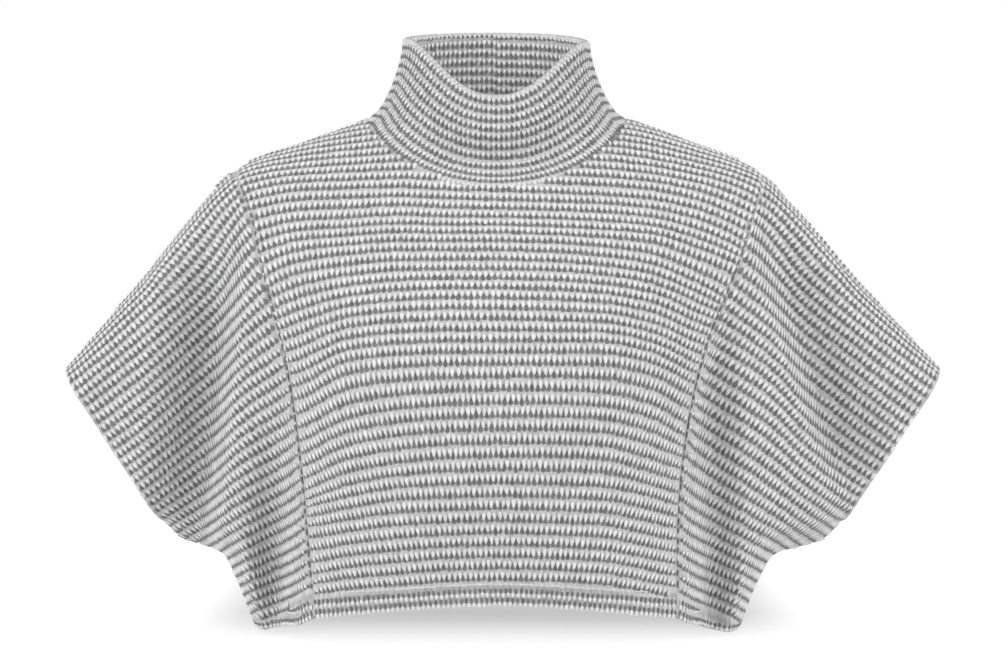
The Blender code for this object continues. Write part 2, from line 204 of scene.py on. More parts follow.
def panel_points(side, face):
    """Half of the front or of the back panel, as rows of points from the shoulder to the hem."""
    down, across = np.meshgrid(DOWN, ACROSS, indexing="ij")
    x_in, y_in, z_in = inner_line(side, face, down)
    x_out, y_out, z_out = wing_seam(side, face, down)
    roundest = ease(down / ROUND_DOWN)
    bulge = 1.0 + roundest * BULGE[face]
    sag = 1.0 + roundest * SAG - ease((down - FALL_DOWN) / FALL_LENGTH) * SAG_LOST_AT_HEM
    x = x_in + (x_out - x_in) * across
    y = y_in + (y_out - y_in) * across**bulge
    z = z_in + (z_out - z_in) * across**sag
    start, end = NECK_X + side * NECK_HALF_WIDTH, side * SHOULDER_X
    top = shoulder_z(side, np.abs(start + (end - start) * across))
    straight = NECK_SIDE_Z + (shoulder_z(side, SHOULDER_X) - NECK_SIDE_Z) * across
    first = shoulder_z(side, abs(start)) - NECK_SIDE_Z
    z = z + (top - straight - first * (1 - across)) * (1 - ease(down / SHOULDER_DOWN))
    return np.stack((x, y, z), axis=-1)


def unit(vectors):
    """The same directions with a length of 1."""
    return vectors / np.linalg.norm(vectors, axis=-1, keepdims=True)


def facing_of(points, face):
    """Which way the cloth faces at each point of a grid."""
    facing = unit(np.cross(np.gradient(points, axis=1), np.gradient(points, axis=0)))
    return facing if (facing[..., 1] * face).sum() > 0 else -facing


def distance_to(points, line):
    """How far each point of a grid is from a line of points."""
    nearest = np.full(points.shape[:-1], np.inf)
    for start, end in zip(line[:-1], line[1:]):
        step = end - start
        share = np.clip(((points - start) @ step) / max(step @ step, 1e-12), 0.0, 1.0)
        apart = points - start - share[..., None] * step
        nearest = np.minimum(nearest, np.linalg.norm(apart, axis=-1))
    return nearest


def length_along(line):
    """How far along a line, or along each line across a grid, its points are."""
    steps = np.linalg.norm(np.diff(line, axis=-2), axis=-1)
    return np.insert(np.cumsum(steps, axis=-1), 0, 0.0, axis=-1)


def values_at(at, length, values):
    """The vectors that a line's points have, at other lengths along the line."""
    return np.stack([np.interp(at, length, column) for column in values.T], axis=-1)


def rolled_edge(distance, radius):
    """How far a turned edge rounds in, by the distance from it."""
    inside = np.clip(radius - distance, 0.0, radius)
    return EDGE_ROUNDNESS * (radius - np.sqrt(radius**2 - inside**2))


# How the rows of the knit lie, seen from the front. A row's height at the middle, then how far it has
# fallen at each distance from the middle, on the wearer's right and left.
ROW_AT_MIDDLE = table(
    "row z",
    (8.5, -48.9), (9, -52.3), (12, -72.5), (15, -91.3), (18, -113.1), (21, -135.7), (24, -160.7),
    (27, -187.2), (30, -217.6), (33, -248.8), (36, -280.0), (39, -309.7), (42, -337.7),
    (45, -364.3), (47, -379.5), (50, -403.0),
)
ROW_FALL_AT = np.array((0, 39, 78, 117, 156, 187, 226, 273, 320, 372), float)
ROW_FALL_NUMBER = np.array(
    (8.5, 10.3, 13.25, 16.1, 21.35, 26, 29.9, 32.15, 34.4, 36.7, 39.1, 41.6, 44.2, 50)
)
ROW_FALL = {
    RIGHT: np.array((
        (0, -1, -3, -2, -1, 3.5, 18, 60, 98, 140), (0, -1, -3, -1.5, 0, 5.5, 22, 65, 103, 145),
        (0, 0, -1, 1.5, 4, 12.5, 33.5, 76.5, 111, 149), (0, 0, 0, 3, 8.5, 22, 53, 94.5, 128.5, 166),
        (0, 0, 1.5, 6, 18.5, 33.5, 63, 99, 131, 167), (0, 0, 1.5, 6, 25, 36, 61, 95, 125, 159),
        (0, 1, 4, 11, 30.5, 45, 68, 96, 123, 153), (0, 1, 4.5, 11.5, 30.5, 46, 67, 92, 118, 147),
        (0, 1, 4.5, 11.5, 28, 41.5, 61, 83, 106, 131), (0, 1, 3, 9.5, 19.5, 32, 53, 75, 97, 121),
        (0, 1, 3, 8, 15.5, 26, 45, 66, 88, 112), (0, 1, 4, 8, 17, 27, 43, 62, 82, 104),
        (0, 1, 4, 7, 14, 23.5, 37.5, 55, 74, 95), (0, 1, 4, 7, 12, 20, 33, 48, 65, 84),
    ), float),
    LEFT: np.array((
        (0, 1, 2, 5, 13, 25, 49, 86, 120, 158), (0, 1, 2.5, 6, 15, 29, 54, 91, 125, 163),
        (0, 1, 3, 6, 18, 31, 54.5, 92, 125, 162), (0, 1, 4, 10, 25.5, 43, 68, 102, 132, 165),
        (0, 1, 3, 10, 26.5, 39, 68.5, 104.5, 138, 175), (0, 0, 0, 7, 26.5, 45, 72.5, 103, 133, 166),
        (0, 0, 1.5, 10, 33.5, 53, 79, 109, 139, 172), (0, 0, 1.5, 11, 28, 47.5, 72, 100, 128, 159),
        (0, 0, 1.5, 11, 25.5, 43, 65, 90, 115, 143), (0, 1, 2.5, 9.5, 24, 40.5, 62, 85, 108, 133),
        (0, 1, 2.5, 10, 20, 34.5, 53, 74, 96, 120), (0, 1, 3, 10, 20, 32, 48.5, 68, 88, 110),
        (0, 1, 3, 9.5, 18, 25, 39, 56, 75, 96), (0, 1, 3, 8, 15, 22, 34, 49, 66, 85),
    ), float),
}
ROW_PART = 0.25
ROW_NUMBERS = np.arange(8.5, 50.01, ROW_PART)
ROW_STEP = 6.0
ROW_STEPS = np.arange(0.0, 373.0, ROW_STEP)
BACK_ROW_START, BACK_ROW_PITCH = 14.0, 8.9
SHOULDER_ROW, SHOULDER_ROW_PITCH = 10.3, 8.7
FRONT_VIEW_TARGET = np.array((3.9, 0.0, -167.0))
FRONT_VIEW_DISTANCE = 2600.0
FRONT_VIEW_TILT = math.radians(2.0)


def drawn_out(values, rows, across, numbers):
    """A table of values by row and by distance across, drawn out to more rows and to ROW_STEPS."""
    columns = [curve(rows, column, numbers) for column in values.T]
    return np.array([curve(across, line, ROW_STEPS) for line in np.array(columns).T])


def row_heights(side, face):
    """The height of each of ROW_NUMBERS at each of ROW_STEPS. The back's two halves are the same."""
    if face == FRONT:
        middle = curve(ROW_AT_MIDDLE["row"], ROW_AT_MIDDLE["z"], ROW_NUMBERS)
    else:
        middle = BACK_ROW_START - BACK_ROW_PITCH * ROW_NUMBERS
    fall = ROW_FALL[side if face == FRONT else LEFT]
    return middle[:, None] - drawn_out(fall, ROW_FALL_NUMBER, ROW_FALL_AT, ROW_NUMBERS)


def row_line(points, rows, number):
    """One row of the knit across a grid, where it crosses the grid's columns and, between them, its
    lines across: the columns, the lines below the row there, and its points."""
    below = (rows < number).sum(axis=0)
    crossed = (below > 0) & (below < len(rows))
    ends = []
    for column in np.flatnonzero(crossed):
        if column > 0 and crossed[column - 1]:
            before, now = below[column - 1], below[column]
            lines = range(before, now) if now > before else range(before - 1, now - 1, -1)
            ends += [(line, column - 1, line, column) for line in lines]
        ends.append((below[column] - 1, column, below[column], column))
    ends = np.array(ends, int).reshape(-1, 4)
    start, end = (ends[:, 0], ends[:, 1]), (ends[:, 2], ends[:, 3])
    share = (number - rows[start]) / (rows[end] - rows[start])
    line = points[start] + (points[end] - points[start]) * share[:, None]
    return ends[:, 3], np.maximum(ends[:, 2], 1), line


def knit_rows(points, face, numbers, heights, shoulder_row):
    """The number of the row that each point of a grid lies on, from each row's heights at ROW_STEPS.
    Above shoulder_row, rows keep an even distance from that row, and so run up over the shoulder."""
    x, z = np.abs(points[..., 0]), points[..., 2]
    if face == FRONT:
        level, tilted = math.cos(FRONT_VIEW_TILT), math.sin(FRONT_VIEW_TILT)
        from_target = points - FRONT_VIEW_TARGET
        depth = from_target @ np.array((0.0, level, -tilted)) + FRONT_VIEW_DISTANCE
        nearness = FRONT_VIEW_DISTANCE / depth
        x = np.abs(FRONT_VIEW_TARGET[0] + from_target[..., 0] * nearness)
        z = FRONT_VIEW_TARGET[2] + from_target @ np.array((0.0, tilted, level)) * nearness
    step = np.clip((x / ROW_STEP).astype(int), 0, len(ROW_STEPS) - 2)
    share = np.clip(x / ROW_STEP - step, 0.0, 1.0)
    there = heights[:, step] * (1 - share) + heights[:, step + 1] * share
    below = np.clip((there > z).sum(axis=0), 1, len(numbers) - 1)
    upper = np.take_along_axis(there, (below - 1)[None], axis=0)[0]
    lower = np.take_along_axis(there, below[None], axis=0)[0]
    rows = numbers[below - 1] + ROW_PART * (upper - z) / (upper - lower)
    over = rows < shoulder_row
    line = row_line(points, rows, shoulder_row)[2]
    rows[over] = shoulder_row - distance_to(points[over], line) / SHOULDER_ROW_PITCH
    return np.maximum.accumulate(rows, axis=0)


def row_fall(points, rows):
    """From each point of a grid, the shortest way to the next row below."""
    down, across = np.gradient(points, axis=0), np.gradient(points, axis=1)
    more_down, more_across = (np.gradient(rows, axis=axis)[..., None] for axis in (0, 1))
    pairs = (down, down), (down, across), (across, across)
    dd, da, aa = ((a * b).sum(axis=-1, keepdims=True) for a, b in pairs)
    slope = (aa * more_down - da * more_across) * down + (dd * more_across - da * more_down) * across
    slope = slope / np.maximum(dd * aa - da * da, 1e-9)
    return slope / np.maximum((slope * slope).sum(axis=-1, keepdims=True), 1e-9)


# Stitches are drawn in beside a wing's seam, low on the garment. The dark ones sink in where the cloth
# bends over the shoulder. Each strays a little from its place.
DRAWN_IN, DRAWN_FROM, DRAWN_WITHIN = 0.5, 2.0, 13.0
DRAWN_BELOW_Z, DRAWN_FULLY_IN = -140.0, 60.0
SUNK_IN, SUNK_WITHIN, SUNK_FADE = 0.8, 9.0, 26.0
LOWEST_ROW, TALLEST_ROW = 4.0, 12.5
WIDEST_STITCH = 1.15
SHORT_OF_END, PAST_END = -0.3, 0.1
STRAY_ALONG, STRAY_UP = 0.16, 0.2


def beside_seam(from_seam, z):
    """How tall the stitches are beside a wing's seam: drawn in low on the garment, full further up."""
    near = 1 - ease((from_seam - DRAWN_FROM) / DRAWN_WITHIN)
    return 1.0 - DRAWN_IN * near * ease((DRAWN_BELOW_Z - z) / DRAWN_FULLY_IN)


def over_shoulder(points):
    """How tall the dark stitches are near a grid's top line, where the cloth bends over."""
    from_top = distance_to(points, points[0])
    return 1.0 - SUNK_IN * (1 - ease((from_top - SUNK_WITHIN) / SUNK_FADE))


def stitch_places(
    points, facing, rows, room, numbers, first, pitch, seed,
    between_them=False, to_the_end=False, tall=None,
):
    """Where the stitches lie along the rows of a grid, one beside the next, wherever there is room,
    or where the other yarn's lie between them. Each has its place, the directions along the row and
    out of the cloth, the height of the row there, times how tall it stands, and a stitch's width."""
    spread = np.random.default_rng(seed)
    falls = row_fall(points, rows)
    found = []
    for number in numbers:
        columns, lines, line = row_line(points, rows, number)
        for run in np.split(np.arange(len(columns)), np.flatnonzero(np.diff(columns) > 1) + 1):
            if len(run) < 3:
                continue
            path, on_grid = line[run], (lines[run], columns[run])
            length = length_along(path)
            start, end = first(number), length[-1]
            count = max(round(end / pitch(number) - start - 0.5), 0)
            wide = min(end / (count + 0.5 + start), WIDEST_STITCH * pitch(number))
            if between_them:
                start = (start + 0.5) % 1.0
            at = np.arange(start * wide, end + (PAST_END if to_the_end else SHORT_OF_END) * wide, wide)
            at = at[np.interp(at, length, room[on_grid]) > 0]
            if len(at) == 0:
                continue
            along = unit(values_at(at, length, np.gradient(path, axis=0)))
            facing_out = unit(values_at(at, length, facing[on_grid]))
            fall = values_at(at, length, falls[on_grid])
            fall -= (fall * along).sum(axis=-1, keepdims=True) * along
            along *= -np.sign((np.cross(facing_out, along) * fall).sum(axis=-1, keepdims=True))
            height = np.clip(np.linalg.norm(fall, axis=-1), LOWEST_ROW, TALLEST_ROW)
            if tall is not None:
                height = height * np.interp(at, length, tall[on_grid])
            place, width = values_at(at, length, path), np.full(len(at), wide)
            found.append(np.column_stack((place, along, facing_out, height, width)))
    found = np.concatenate(found)
    along, up = found[:, 3:6], np.cross(found[:, 6:9], found[:, 3:6])
    found[:, :3] += along * spread.normal(0.0, STRAY_ALONG, (len(found), 1))
    found[:, :3] += up * spread.normal(0.0, STRAY_UP, (len(found), 1))
    return found


SAME_POINT = 0.0437


def add_object(name, data):
    """A new object in the scene."""
    added = bpy.data.objects.new(name, data)
    bpy.context.scene.collection.objects.link(added)
    return added


def shell_grid(points, face, outer, inner, rows):
    """A grid for a shell: points on the outside of the stitches, which way they face, how deep the
    outer and the inner surface lie below them, and the rows and stitches for the UVs."""
    return points, face, outer, inner, rows, length_along(points) / STITCH_PITCH


def cloth_shell(name, grids, wool, doubled=False):
    """A piece of cloth with its thickness. Doubled cloth shows its right side inside too."""
    points = np.concatenate([grid[0].reshape(-1, 3) for grid in grids])
    outer, inner, rows, stitches = (
        np.concatenate([np.broadcast_to(grid[i], grid[0].shape[:2]).ravel() for grid in grids])
        for i in (2, 3, 4, 5)
    )
    quads, first = [], 0
    for grid in grids:
        index = first + np.arange(grid[0][..., 0].size).reshape(grid[0].shape[:2])
        first += index.size
        corners = index[:-1, :-1], index[:-1, 1:], index[1:, 1:], index[1:, :-1]
        around = np.stack(corners, axis=-1).reshape(-1, 4)
        start, across, _, down = (points[around[:, i]] for i in range(4))
        facing = np.cross(across - start, down - start)
        quads.append(around if (facing[:, 1] * grid[1]).sum() > 0 else around[:, ::-1])
    # Points that two grids share become one.
    cells = np.round(points / SAME_POINT).astype(int)
    _, kept, merged = np.unique(cells, axis=0, return_index=True, return_inverse=True)
    quads = merged.ravel()[np.concatenate(quads)]
    points, outer, inner, rows, stitches = (
        values[kept] for values in (points, outer, inner, rows, stitches)
    )
    facing = np.zeros_like(points)
    for triangle in ((0, 1, 2), (0, 2, 3)):
        a, b, c = (points[quads[:, corner]] for corner in triangle)
        for corner in triangle:
            np.add.at(facing, quads[:, corner], np.cross(b - a, c - a))
    facing = unit(facing)
    faces = []
    for quad in quads.tolist():
        corners = [corner for i, corner in enumerate(quad) if corner != quad[i - 1]]
        if len(corners) > 2:
            faces.append(corners)
    edges = {(face[i - 1], face[i]) for face in faces for i in range(len(face))}
    count = len(points)
    rims = [[b, a, a + count, b + count] for a, b in edges if (b, a) not in edges]
    insides = [[corner + count for corner in reversed(face)] for face in faces]
    both = np.concatenate((points - facing * outer[:, None], points - facing * inner[:, None]))
    mesh = bpy.data.meshes.new(name)
    mesh.from_pydata(both * MM, [], faces + rims + insides)
    mesh.polygons.foreach_set("use_smooth", [True] * len(mesh.polygons))
    corner_points = np.empty(len(mesh.loops), int)
    mesh.loops.foreach_get("vertex_index", corner_points)
    unwrapped = np.column_stack((stitches, rows))[corner_points % count]
    mesh.uv_layers.new(name="UVMap").data.foreach_set("uv", unwrapped.ravel())
    reverse = mesh.attributes.new("reverse", "FLOAT", "POINT")
    right_sides = 2 if doubled else 1
    is_reverse = np.arange(2 * count) >= right_sides * count
    reverse.data.foreach_set("value", is_reverse.astype(np.float32))
    mesh.materials.append(wool)
    return add_object(name, mesh)


def add_node(tree, kind, inputs=(), **settings):
    """A node with its settings, and its inputs as values or as links from other nodes."""
    node = tree.nodes.new(kind)
    for key, value in settings.items():
        setattr(node, key, value)
    for key, value in dict(inputs).items():
        if isinstance(value, bpy.types.NodeSocket):
            tree.links.new(value, node.inputs[key])
        else:
            node.inputs[key].default_value = value
    return node


def maths(tree, operation, *values):
    return add_node(tree, "ShaderNodeMath", enumerate(values), operation=operation).outputs[0]


def plus(tree, total, *values):
    for value in values:
        total = maths(tree, "ADD", total, value)
    return total


def times(tree, product, *values):
    for value in values:
        product = maths(tree, "MULTIPLY", product, value)
    return product


def vectors(tree, operation, *values):
    keys = (0, "Scale") if operation == "SCALE" else (0, 1)
    node = add_node(tree, "ShaderNodeVectorMath", zip(keys, values), operation=operation)
    return node.outputs[0]


# Fine hairs and uneven spinning of the wool, which every yarn of the knit shows.
wool_hair = bpy.data.node_groups.new("wool_hair", "ShaderNodeTree")
for name, way in (("Spin", "INPUT"), ("Tone", "OUTPUT"), ("Height", "OUTPUT")):
    wool_hair.interface.new_socket(name, in_out=way, socket_type="NodeSocketFloat")
spin = add_node(wool_hair, "NodeGroupInput").outputs["Spin"]
place = add_node(wool_hair, "ShaderNodeTexCoord").outputs["Object"]
hair_sizes = {"Vector": place, "Scale": spin, "Detail": 3.0, "Roughness": 0.65}
hairs = add_node(wool_hair, "ShaderNodeTexNoise", hair_sizes).outputs[0]
cloud_sizes = {"Vector": place, "Scale": 38.0, "Detail": 2.0}
clouds = add_node(wool_hair, "ShaderNodeTexNoise", cloud_sizes).outputs[0]
tone = plus(wool_hair, times(wool_hair, hairs, 0.7), times(wool_hair, clouds, 0.3))
add_node(wool_hair, "NodeGroupOutput", {"Tone": tone, "Height": hairs})


def wool_material(name, dark, light, spin):
    """Matt, slightly hairy wool that varies between two shades. Gives back the material, its nodes,
    the hairs' tone and the mix of the two shades."""
    material = bpy.data.materials.new(name)
    material.use_nodes = True
    tree = material.node_tree
    shader = tree.nodes["Principled BSDF"]
    shader.inputs["Roughness"].default_value = 0.92
    shader.inputs["Specular IOR Level"].default_value = 0.18
    shader.inputs["Sheen Weight"].default_value = 0.25
    shader.inputs["Sheen Roughness"].default_value = 0.5
    hair = add_node(tree, "ShaderNodeGroup", node_tree=wool_hair)
    hair.inputs["Spin"].default_value = spin
    relief = {"Height": hair.outputs["Height"], "Strength": 0.35, "Distance": 0.0004}
    bump = add_node(tree, "ShaderNodeBump", relief)
    tree.links.new(bump.outputs[0], shader.inputs["Normal"])
    mix = add_node(tree, "ShaderNodeMix", data_type="RGBA")
    mix.inputs[6].default_value = (*dark, 1.0)
    mix.inputs[7].default_value = (*light, 1.0)
    tree.links.new(mix.outputs[2], shader.inputs["Base Color"])
    return material, tree, hair.outputs["Tone"], mix


def lighter_or_darker(tree, tone, strength):
    """How much the hairs lighten or darken the yarn."""
    return times(tree, maths(tree, "SUBTRACT", tone, 0.5), strength)


def named(tree, name):
    """A value that the mesh's points carry under a name."""
    return add_node(tree, "ShaderNodeAttribute", attribute_name=name).outputs["Fac"]


# The grey ground of the knit shows between the stitches, with a lighter line between the rows. Its
# reverse, inside the garment, shows the floats of both yarns as short dashes.
GREY_DARK, GREY_LIGHT = (0.24, 0.24, 0.243), (0.52, 0.52, 0.524)
GROUND_SPIN, STITCH_SPIN = 2600.0, 3200.0
grey_wool, tree, hair_tone, mix = wool_material("grey_wool", GREY_DARK, GREY_LIGHT, GROUND_SPIN)
uv_map = add_node(tree, "ShaderNodeUVMap", uv_map="UVMap").outputs[0]
uv = add_node(tree, "ShaderNodeSeparateXYZ", {0: uv_map}).outputs
between_rows = maths(tree, "COSINE", times(tree, uv["Y"], 2 * math.pi))
dashes = maths(tree, "SINE", times(tree, uv["X"], 2 * math.pi))
long_fibres = add_node(tree, "ShaderNodeCombineXYZ", {0: uv["X"], 1: times(tree, uv["Y"], 0.4)})
fibre_sizes = {"Vector": long_fibres.outputs[0], "Scale": 1.9, "Detail": 1.0}
fibres = add_node(tree, "ShaderNodeTexNoise", fibre_sizes, noise_dimensions="2D").outputs[0]
outside = plus(tree, -0.03, times(tree, between_rows, -0.20), times(tree, fibres, 1.2))
floats = plus(tree, 0.48, times(tree, between_rows, dashes, 0.42))
sides = {0: named(tree, "reverse"), 2: outside, 3: floats}
side_tone = add_node(tree, "ShaderNodeMix", sides, data_type="FLOAT").outputs[0]
hairy = plus(tree, side_tone, lighter_or_darker(tree, hair_tone, 0.5))
tree.links.new(hairy, mix.inputs[0])


def stitch_wool(name, dark, light, at_edge):
    """Yarn of the raised stitches. Each stitch has a tone of its own, and its hairy edge is lighter or
    darker than its middle."""
    material, tree, hair_tone, mix = wool_material(name, dark, light, STITCH_SPIN)
    own = plus(tree, named(tree, "tone"), lighter_or_darker(tree, hair_tone, 0.6))
    tree.links.new(plus(tree, own, times(tree, named(tree, "edge"), at_edge)), mix.inputs[0])
    return material


white_wool = stitch_wool("white_wool", (0.52, 0.52, 0.52), (0.76, 0.76, 0.76), -0.3)
charcoal_wool = stitch_wool("charcoal_wool", (0.06, 0.06, 0.062), (0.20, 0.20, 0.203), 0.45)

# One raised stitch of the knit, a flat drop of yarn, laid at every place that a mesh's points give.
DROP_WAIST = 0.75
DROP_TONES = 0.28, 0.70
DROP_LEAN = 0.14
drop_stitch = bpy.data.node_groups.new("drop_stitch", "GeometryNodeTree")
for kind, names in (
    ("NodeSocketGeometry", "Places"),
    ("NodeSocketFloat", "Width Height Thickness Taper Up Rise Unevenness"),
    ("NodeSocketInt", "Seed"),
    ("NodeSocketMaterial", "Yarn"),
):
    for name in names.split():
        drop_stitch.interface.new_socket(name, in_out="INPUT", socket_type=kind)
drop_stitch.interface.new_socket("Stitches", in_out="OUTPUT", socket_type="NodeSocketGeometry")
given = add_node(drop_stitch, "NodeGroupInput").outputs


def of_place(name, kind):
    """A value that each place of a stitch carries."""
    found = add_node(drop_stitch, "GeometryNodeInputNamedAttribute", {"Name": name}, data_type=kind)
    return found.outputs[0]


def stored(geometry, name, value):
    """Puts a value on a geometry's points for the material to read."""
    inputs = {"Geometry": geometry, "Name": name, "Value": value}
    kept = add_node(
        drop_stitch, "GeometryNodeStoreNamedAttribute", inputs, data_type="FLOAT", domain="POINT"
    )
    return kept.outputs[0]


def for_each_stitch(low, high, offset):
    """A random number for each stitch."""
    inputs = {2: low, 3: high, "Seed": plus(drop_stitch, given["Seed"], offset)}
    return add_node(drop_stitch, "FunctionNodeRandomValue", inputs, data_type="FLOAT").outputs[1]


def uneven(offset):
    """A random number about 1 for each stitch."""
    low = maths(drop_stitch, "SUBTRACT", 1.0, given["Unevenness"])
    return for_each_stitch(low, plus(drop_stitch, 1.0, given["Unevenness"]), offset)


tree = drop_stitch
along, out = of_place("along", "FLOAT_VECTOR"), of_place("out", "FLOAT_VECTOR")
row_height, pitch = of_place("row_height", "FLOAT"), of_place("pitch", "FLOAT")
up = vectors(tree, "CROSS_PRODUCT", out, along)
shift_up = vectors(tree, "SCALE", up, times(tree, row_height, times(tree, given["Up"], uneven(1))))
shift = vectors(tree, "ADD", shift_up, vectors(tree, "SCALE", out, given["Rise"]))
placed = add_node(tree, "GeometryNodeSetPosition", {"Geometry": given["Places"], "Offset": shift})
toned = stored(placed.outputs[0], "tone", for_each_stitch(*DROP_TONES, 0))
ball = add_node(tree, "GeometryNodeMeshUVSphere", {"Segments": 7, "Rings": 4, "Radius": 1.0})
on_ball = add_node(tree, "GeometryNodeInputPosition").outputs[0]
spot = add_node(tree, "ShaderNodeSeparateXYZ", {0: on_ball}).outputs
waist = plus(tree, DROP_WAIST, times(tree, given["Taper"], spot["Z"]))
drop_shape = add_node(
    tree, "ShaderNodeCombineXYZ",
    {0: times(tree, spot["X"], waist), 1: times(tree, spot["Y"], waist), 2: spot["Z"]},
).outputs[0]
edge = maths(tree, "SUBTRACT", 1.0, maths(tree, "ABSOLUTE", spot["Y"]))
edged = stored(ball.outputs["Mesh"], "edge", edge)
drop = add_node(tree, "GeometryNodeSetPosition", {"Geometry": edged, "Position": drop_shape})
smooth = {"Geometry": drop.outputs[0], "Shade Smooth": True}
smooth_drop = add_node(tree, "GeometryNodeSetShadeSmooth", smooth).outputs[0]
lean = vectors(tree, "SCALE", along, for_each_stitch(-DROP_LEAN, DROP_LEAN, 5))
axes = {0: vectors(tree, "ADD", up, lean), 1: along}
turned = add_node(tree, "FunctionNodeAxesToRotation", axes, primary_axis="Z", secondary_axis="X")
size = add_node(
    tree, "ShaderNodeCombineXYZ",
    {
        0: times(tree, pitch, given["Width"], uneven(2)),
        1: times(tree, given["Thickness"], uneven(3)),
        2: times(tree, row_height, given["Height"], uneven(4)),
    },
).outputs[0]
laid = add_node(
    tree, "GeometryNodeInstanceOnPoints",
    {
        "Points": toned, "Instance": smooth_drop, "Rotation": turned.outputs[0],
        "Scale": vectors(tree, "SCALE", size, 0.5),
    },
)
real = add_node(tree, "GeometryNodeRealizeInstances", {"Geometry": laid.outputs[0]}).outputs[0]
for name in ("along", "out", "row_height", "pitch"):
    real = add_node(tree, "GeometryNodeRemoveAttribute", {"Geometry": real, "Name": name}).outputs[0]
spun = add_node(tree, "GeometryNodeSetMaterial", {"Geometry": real, "Material": given["Yarn"]})
add_node(tree, "NodeGroupOutput", {"Stitches": spun.outputs[0]})


def sew(name, places, **sizes):
    """Lays a drop of yarn at each place and gives back the stitches as one plain mesh."""
    mesh = bpy.data.meshes.new(name)
    mesh.from_pydata(places[:, :3] * MM, [], [])
    for key, values in (("along", places[:, 3:6]), ("out", places[:, 6:9])):
        layer = mesh.attributes.new(key, "FLOAT_VECTOR", "POINT")
        layer.data.foreach_set("vector", values.astype(np.float32).ravel())
    for key, values in (("row_height", places[:, 9]), ("pitch", places[:, 10])):
        layer = mesh.attributes.new(key, "FLOAT", "POINT")
        layer.data.foreach_set("value", (values * MM).astype(np.float32))
    stitches = add_object(name, mesh)
    modifier = stitches.modifiers.new("stitches", "NODES")
    modifier.node_group = drop_stitch
    for socket in drop_stitch.interface.items_tree:
        if socket.in_out == "INPUT" and socket.name in sizes:
            modifier[socket.identifier] = sizes[socket.name]
    graph = bpy.context.evaluated_depsgraph_get()
    made = bpy.data.meshes.new_from_object(stitches.evaluated_get(graph))
    stitches.modifiers.clear()
    stitches.data = made
    made.name = name
    return stitches


def drop_of(yarn, width, height, thickness, rise, taper=0.0, up=0.0, unevenness=0.12):
    """A drop's yarn and sizes: its width and height and how far up it sits, as shares of a stitch's,
    its thickness and how far it rises out of the cloth, and how it narrows to a point."""
    return {
        "Width": width, "Height": height, "Thickness": thickness * MM, "Taper": taper, "Up": up,
        "Rise": rise * MM, "Unevenness": unevenness, "Yarn": yarn,
    }


# In each row, white drops hang point down, and dark ones stand point up between them. The stitches
# get narrower towards the hem, where the knit is drawn in.
WHITE_DROP = drop_of(white_wool, 1.0, 0.68, thickness=1.8, rise=0.35, taper=0.30, up=0.24)
DARK_DROP = drop_of(charcoal_wool, 1.12, 0.66, thickness=1.0, rise=0.1, taper=-0.30, up=-0.01)
PITCH = table("row wide", (0, 4.5), (23, 4.5), (28, 4.2), (32, 4.0), (40, 3.95), (50, 3.7))
HEM_PITCH_ROW = 47
MOST_ROWS = 80


def row_pitch(number):
    return float(curve(PITCH["row"], PITCH["wide"], np.float64(number)))


def hem_pitch(number):
    return row_pitch(HEM_PITCH_ROW)


def seed_for(first, side, face):
    """A seed of its own for each part of a piece."""
    return first + side + 3 * face


def sewn(name, places, seed, **drop):
    """Stitches that go with a piece of cloth."""
    stitches = sew(name, places, Seed=seed, **drop)
    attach(stitches, "root")
    return stitches


# The hem is turned up and caught with a light thread, which shows as far out as HEM_THREAD_TO. Below
# it, a row of dark stitches hangs point down, and another stands at the very edge, each with white
# ones hanging between. HEM_SHIFT is how much later each row starts, in stitches.
HEM_THREAD = 17.4
HEM_THREAD_TO = 112.0
HEM_ROWS = (11.6, 4.1)
HEM_SHIFT = 0.35
HEM_DARK = drop_of(charcoal_wool, 0.95, 0.60, thickness=1.0, rise=0.2, taper=0.20)
HEM_WHITE = drop_of(white_wool, 0.95, 0.55, thickness=2.0, rise=0.25, taper=0.25, up=-0.42)
HEM_LIGHT_THREAD = drop_of(white_wool, 1.6, 0.36, thickness=1.2, rise=0.2, unevenness=0.10)
# How deep and wide the seams draw the cloth in, and how far stitches keep from them and the thread.
SEAM_DEPTH, SEAM_WIDTH = 0.7, 4.0
SEAM_ROOM, WING_SEAM_ROOM, THREAD_ROOM = 0.8, 2.2, 0.8


def drawn_in(from_seam):
    """How far a seam draws the cloth in."""
    return SEAM_DEPTH * (1 - ease(from_seam / SEAM_WIDTH))


def wall_near(from_edge, turned, wall):
    """How thick the cloth is near an edge that is turned in."""
    return CLOTH_WALL + (wall - CLOTH_WALL) * (1 - ease((from_edge - turned) / WALL_STEP))


def knit_places(points, surface, facing, rows, room, tall, first, seed):
    """Places of the white and of the dark stitches in all the rows of a grid."""
    numbers = range(math.ceil(rows.min()), math.floor(rows.max()) + 1)
    talls = tall, tall * over_shoulder(points)
    return [
        stitch_places(
            surface, facing, rows, room, numbers, first, row_pitch, seed, dark, tall=talls[dark]
        )
        for dark in (False, True)
    ]


def hem_places(points, facing, from_hem, rooms, talls, first, seed):
    """Places of the dark and the white stitches in the two rows of the turned hem, from each row's room
    and how tall its stitches stand."""
    pitch = HEM_ROWS[0] - HEM_ROWS[1]
    rows = (HEM_ROWS[0] + pitch - from_hem) / pitch
    return [
        np.concatenate([
            stitch_places(
                points, facing, rows, room, (number,), first, hem_pitch, seed + number, white, tall=tall
            )
            for number, room, tall in zip((1, 2), rooms, talls)
        ])
        for white in (False, True)
    ]


def thread_places(points, facing, from_hem, first):
    """Places of the long stitches of the thread that holds the hem, which shows in the middle."""
    room = HEM_THREAD_TO - np.abs(points[..., 0])
    return stitch_places(points, facing, HEM_THREAD + 1 - from_hem, room, (1,), first, hem_pitch, 5)


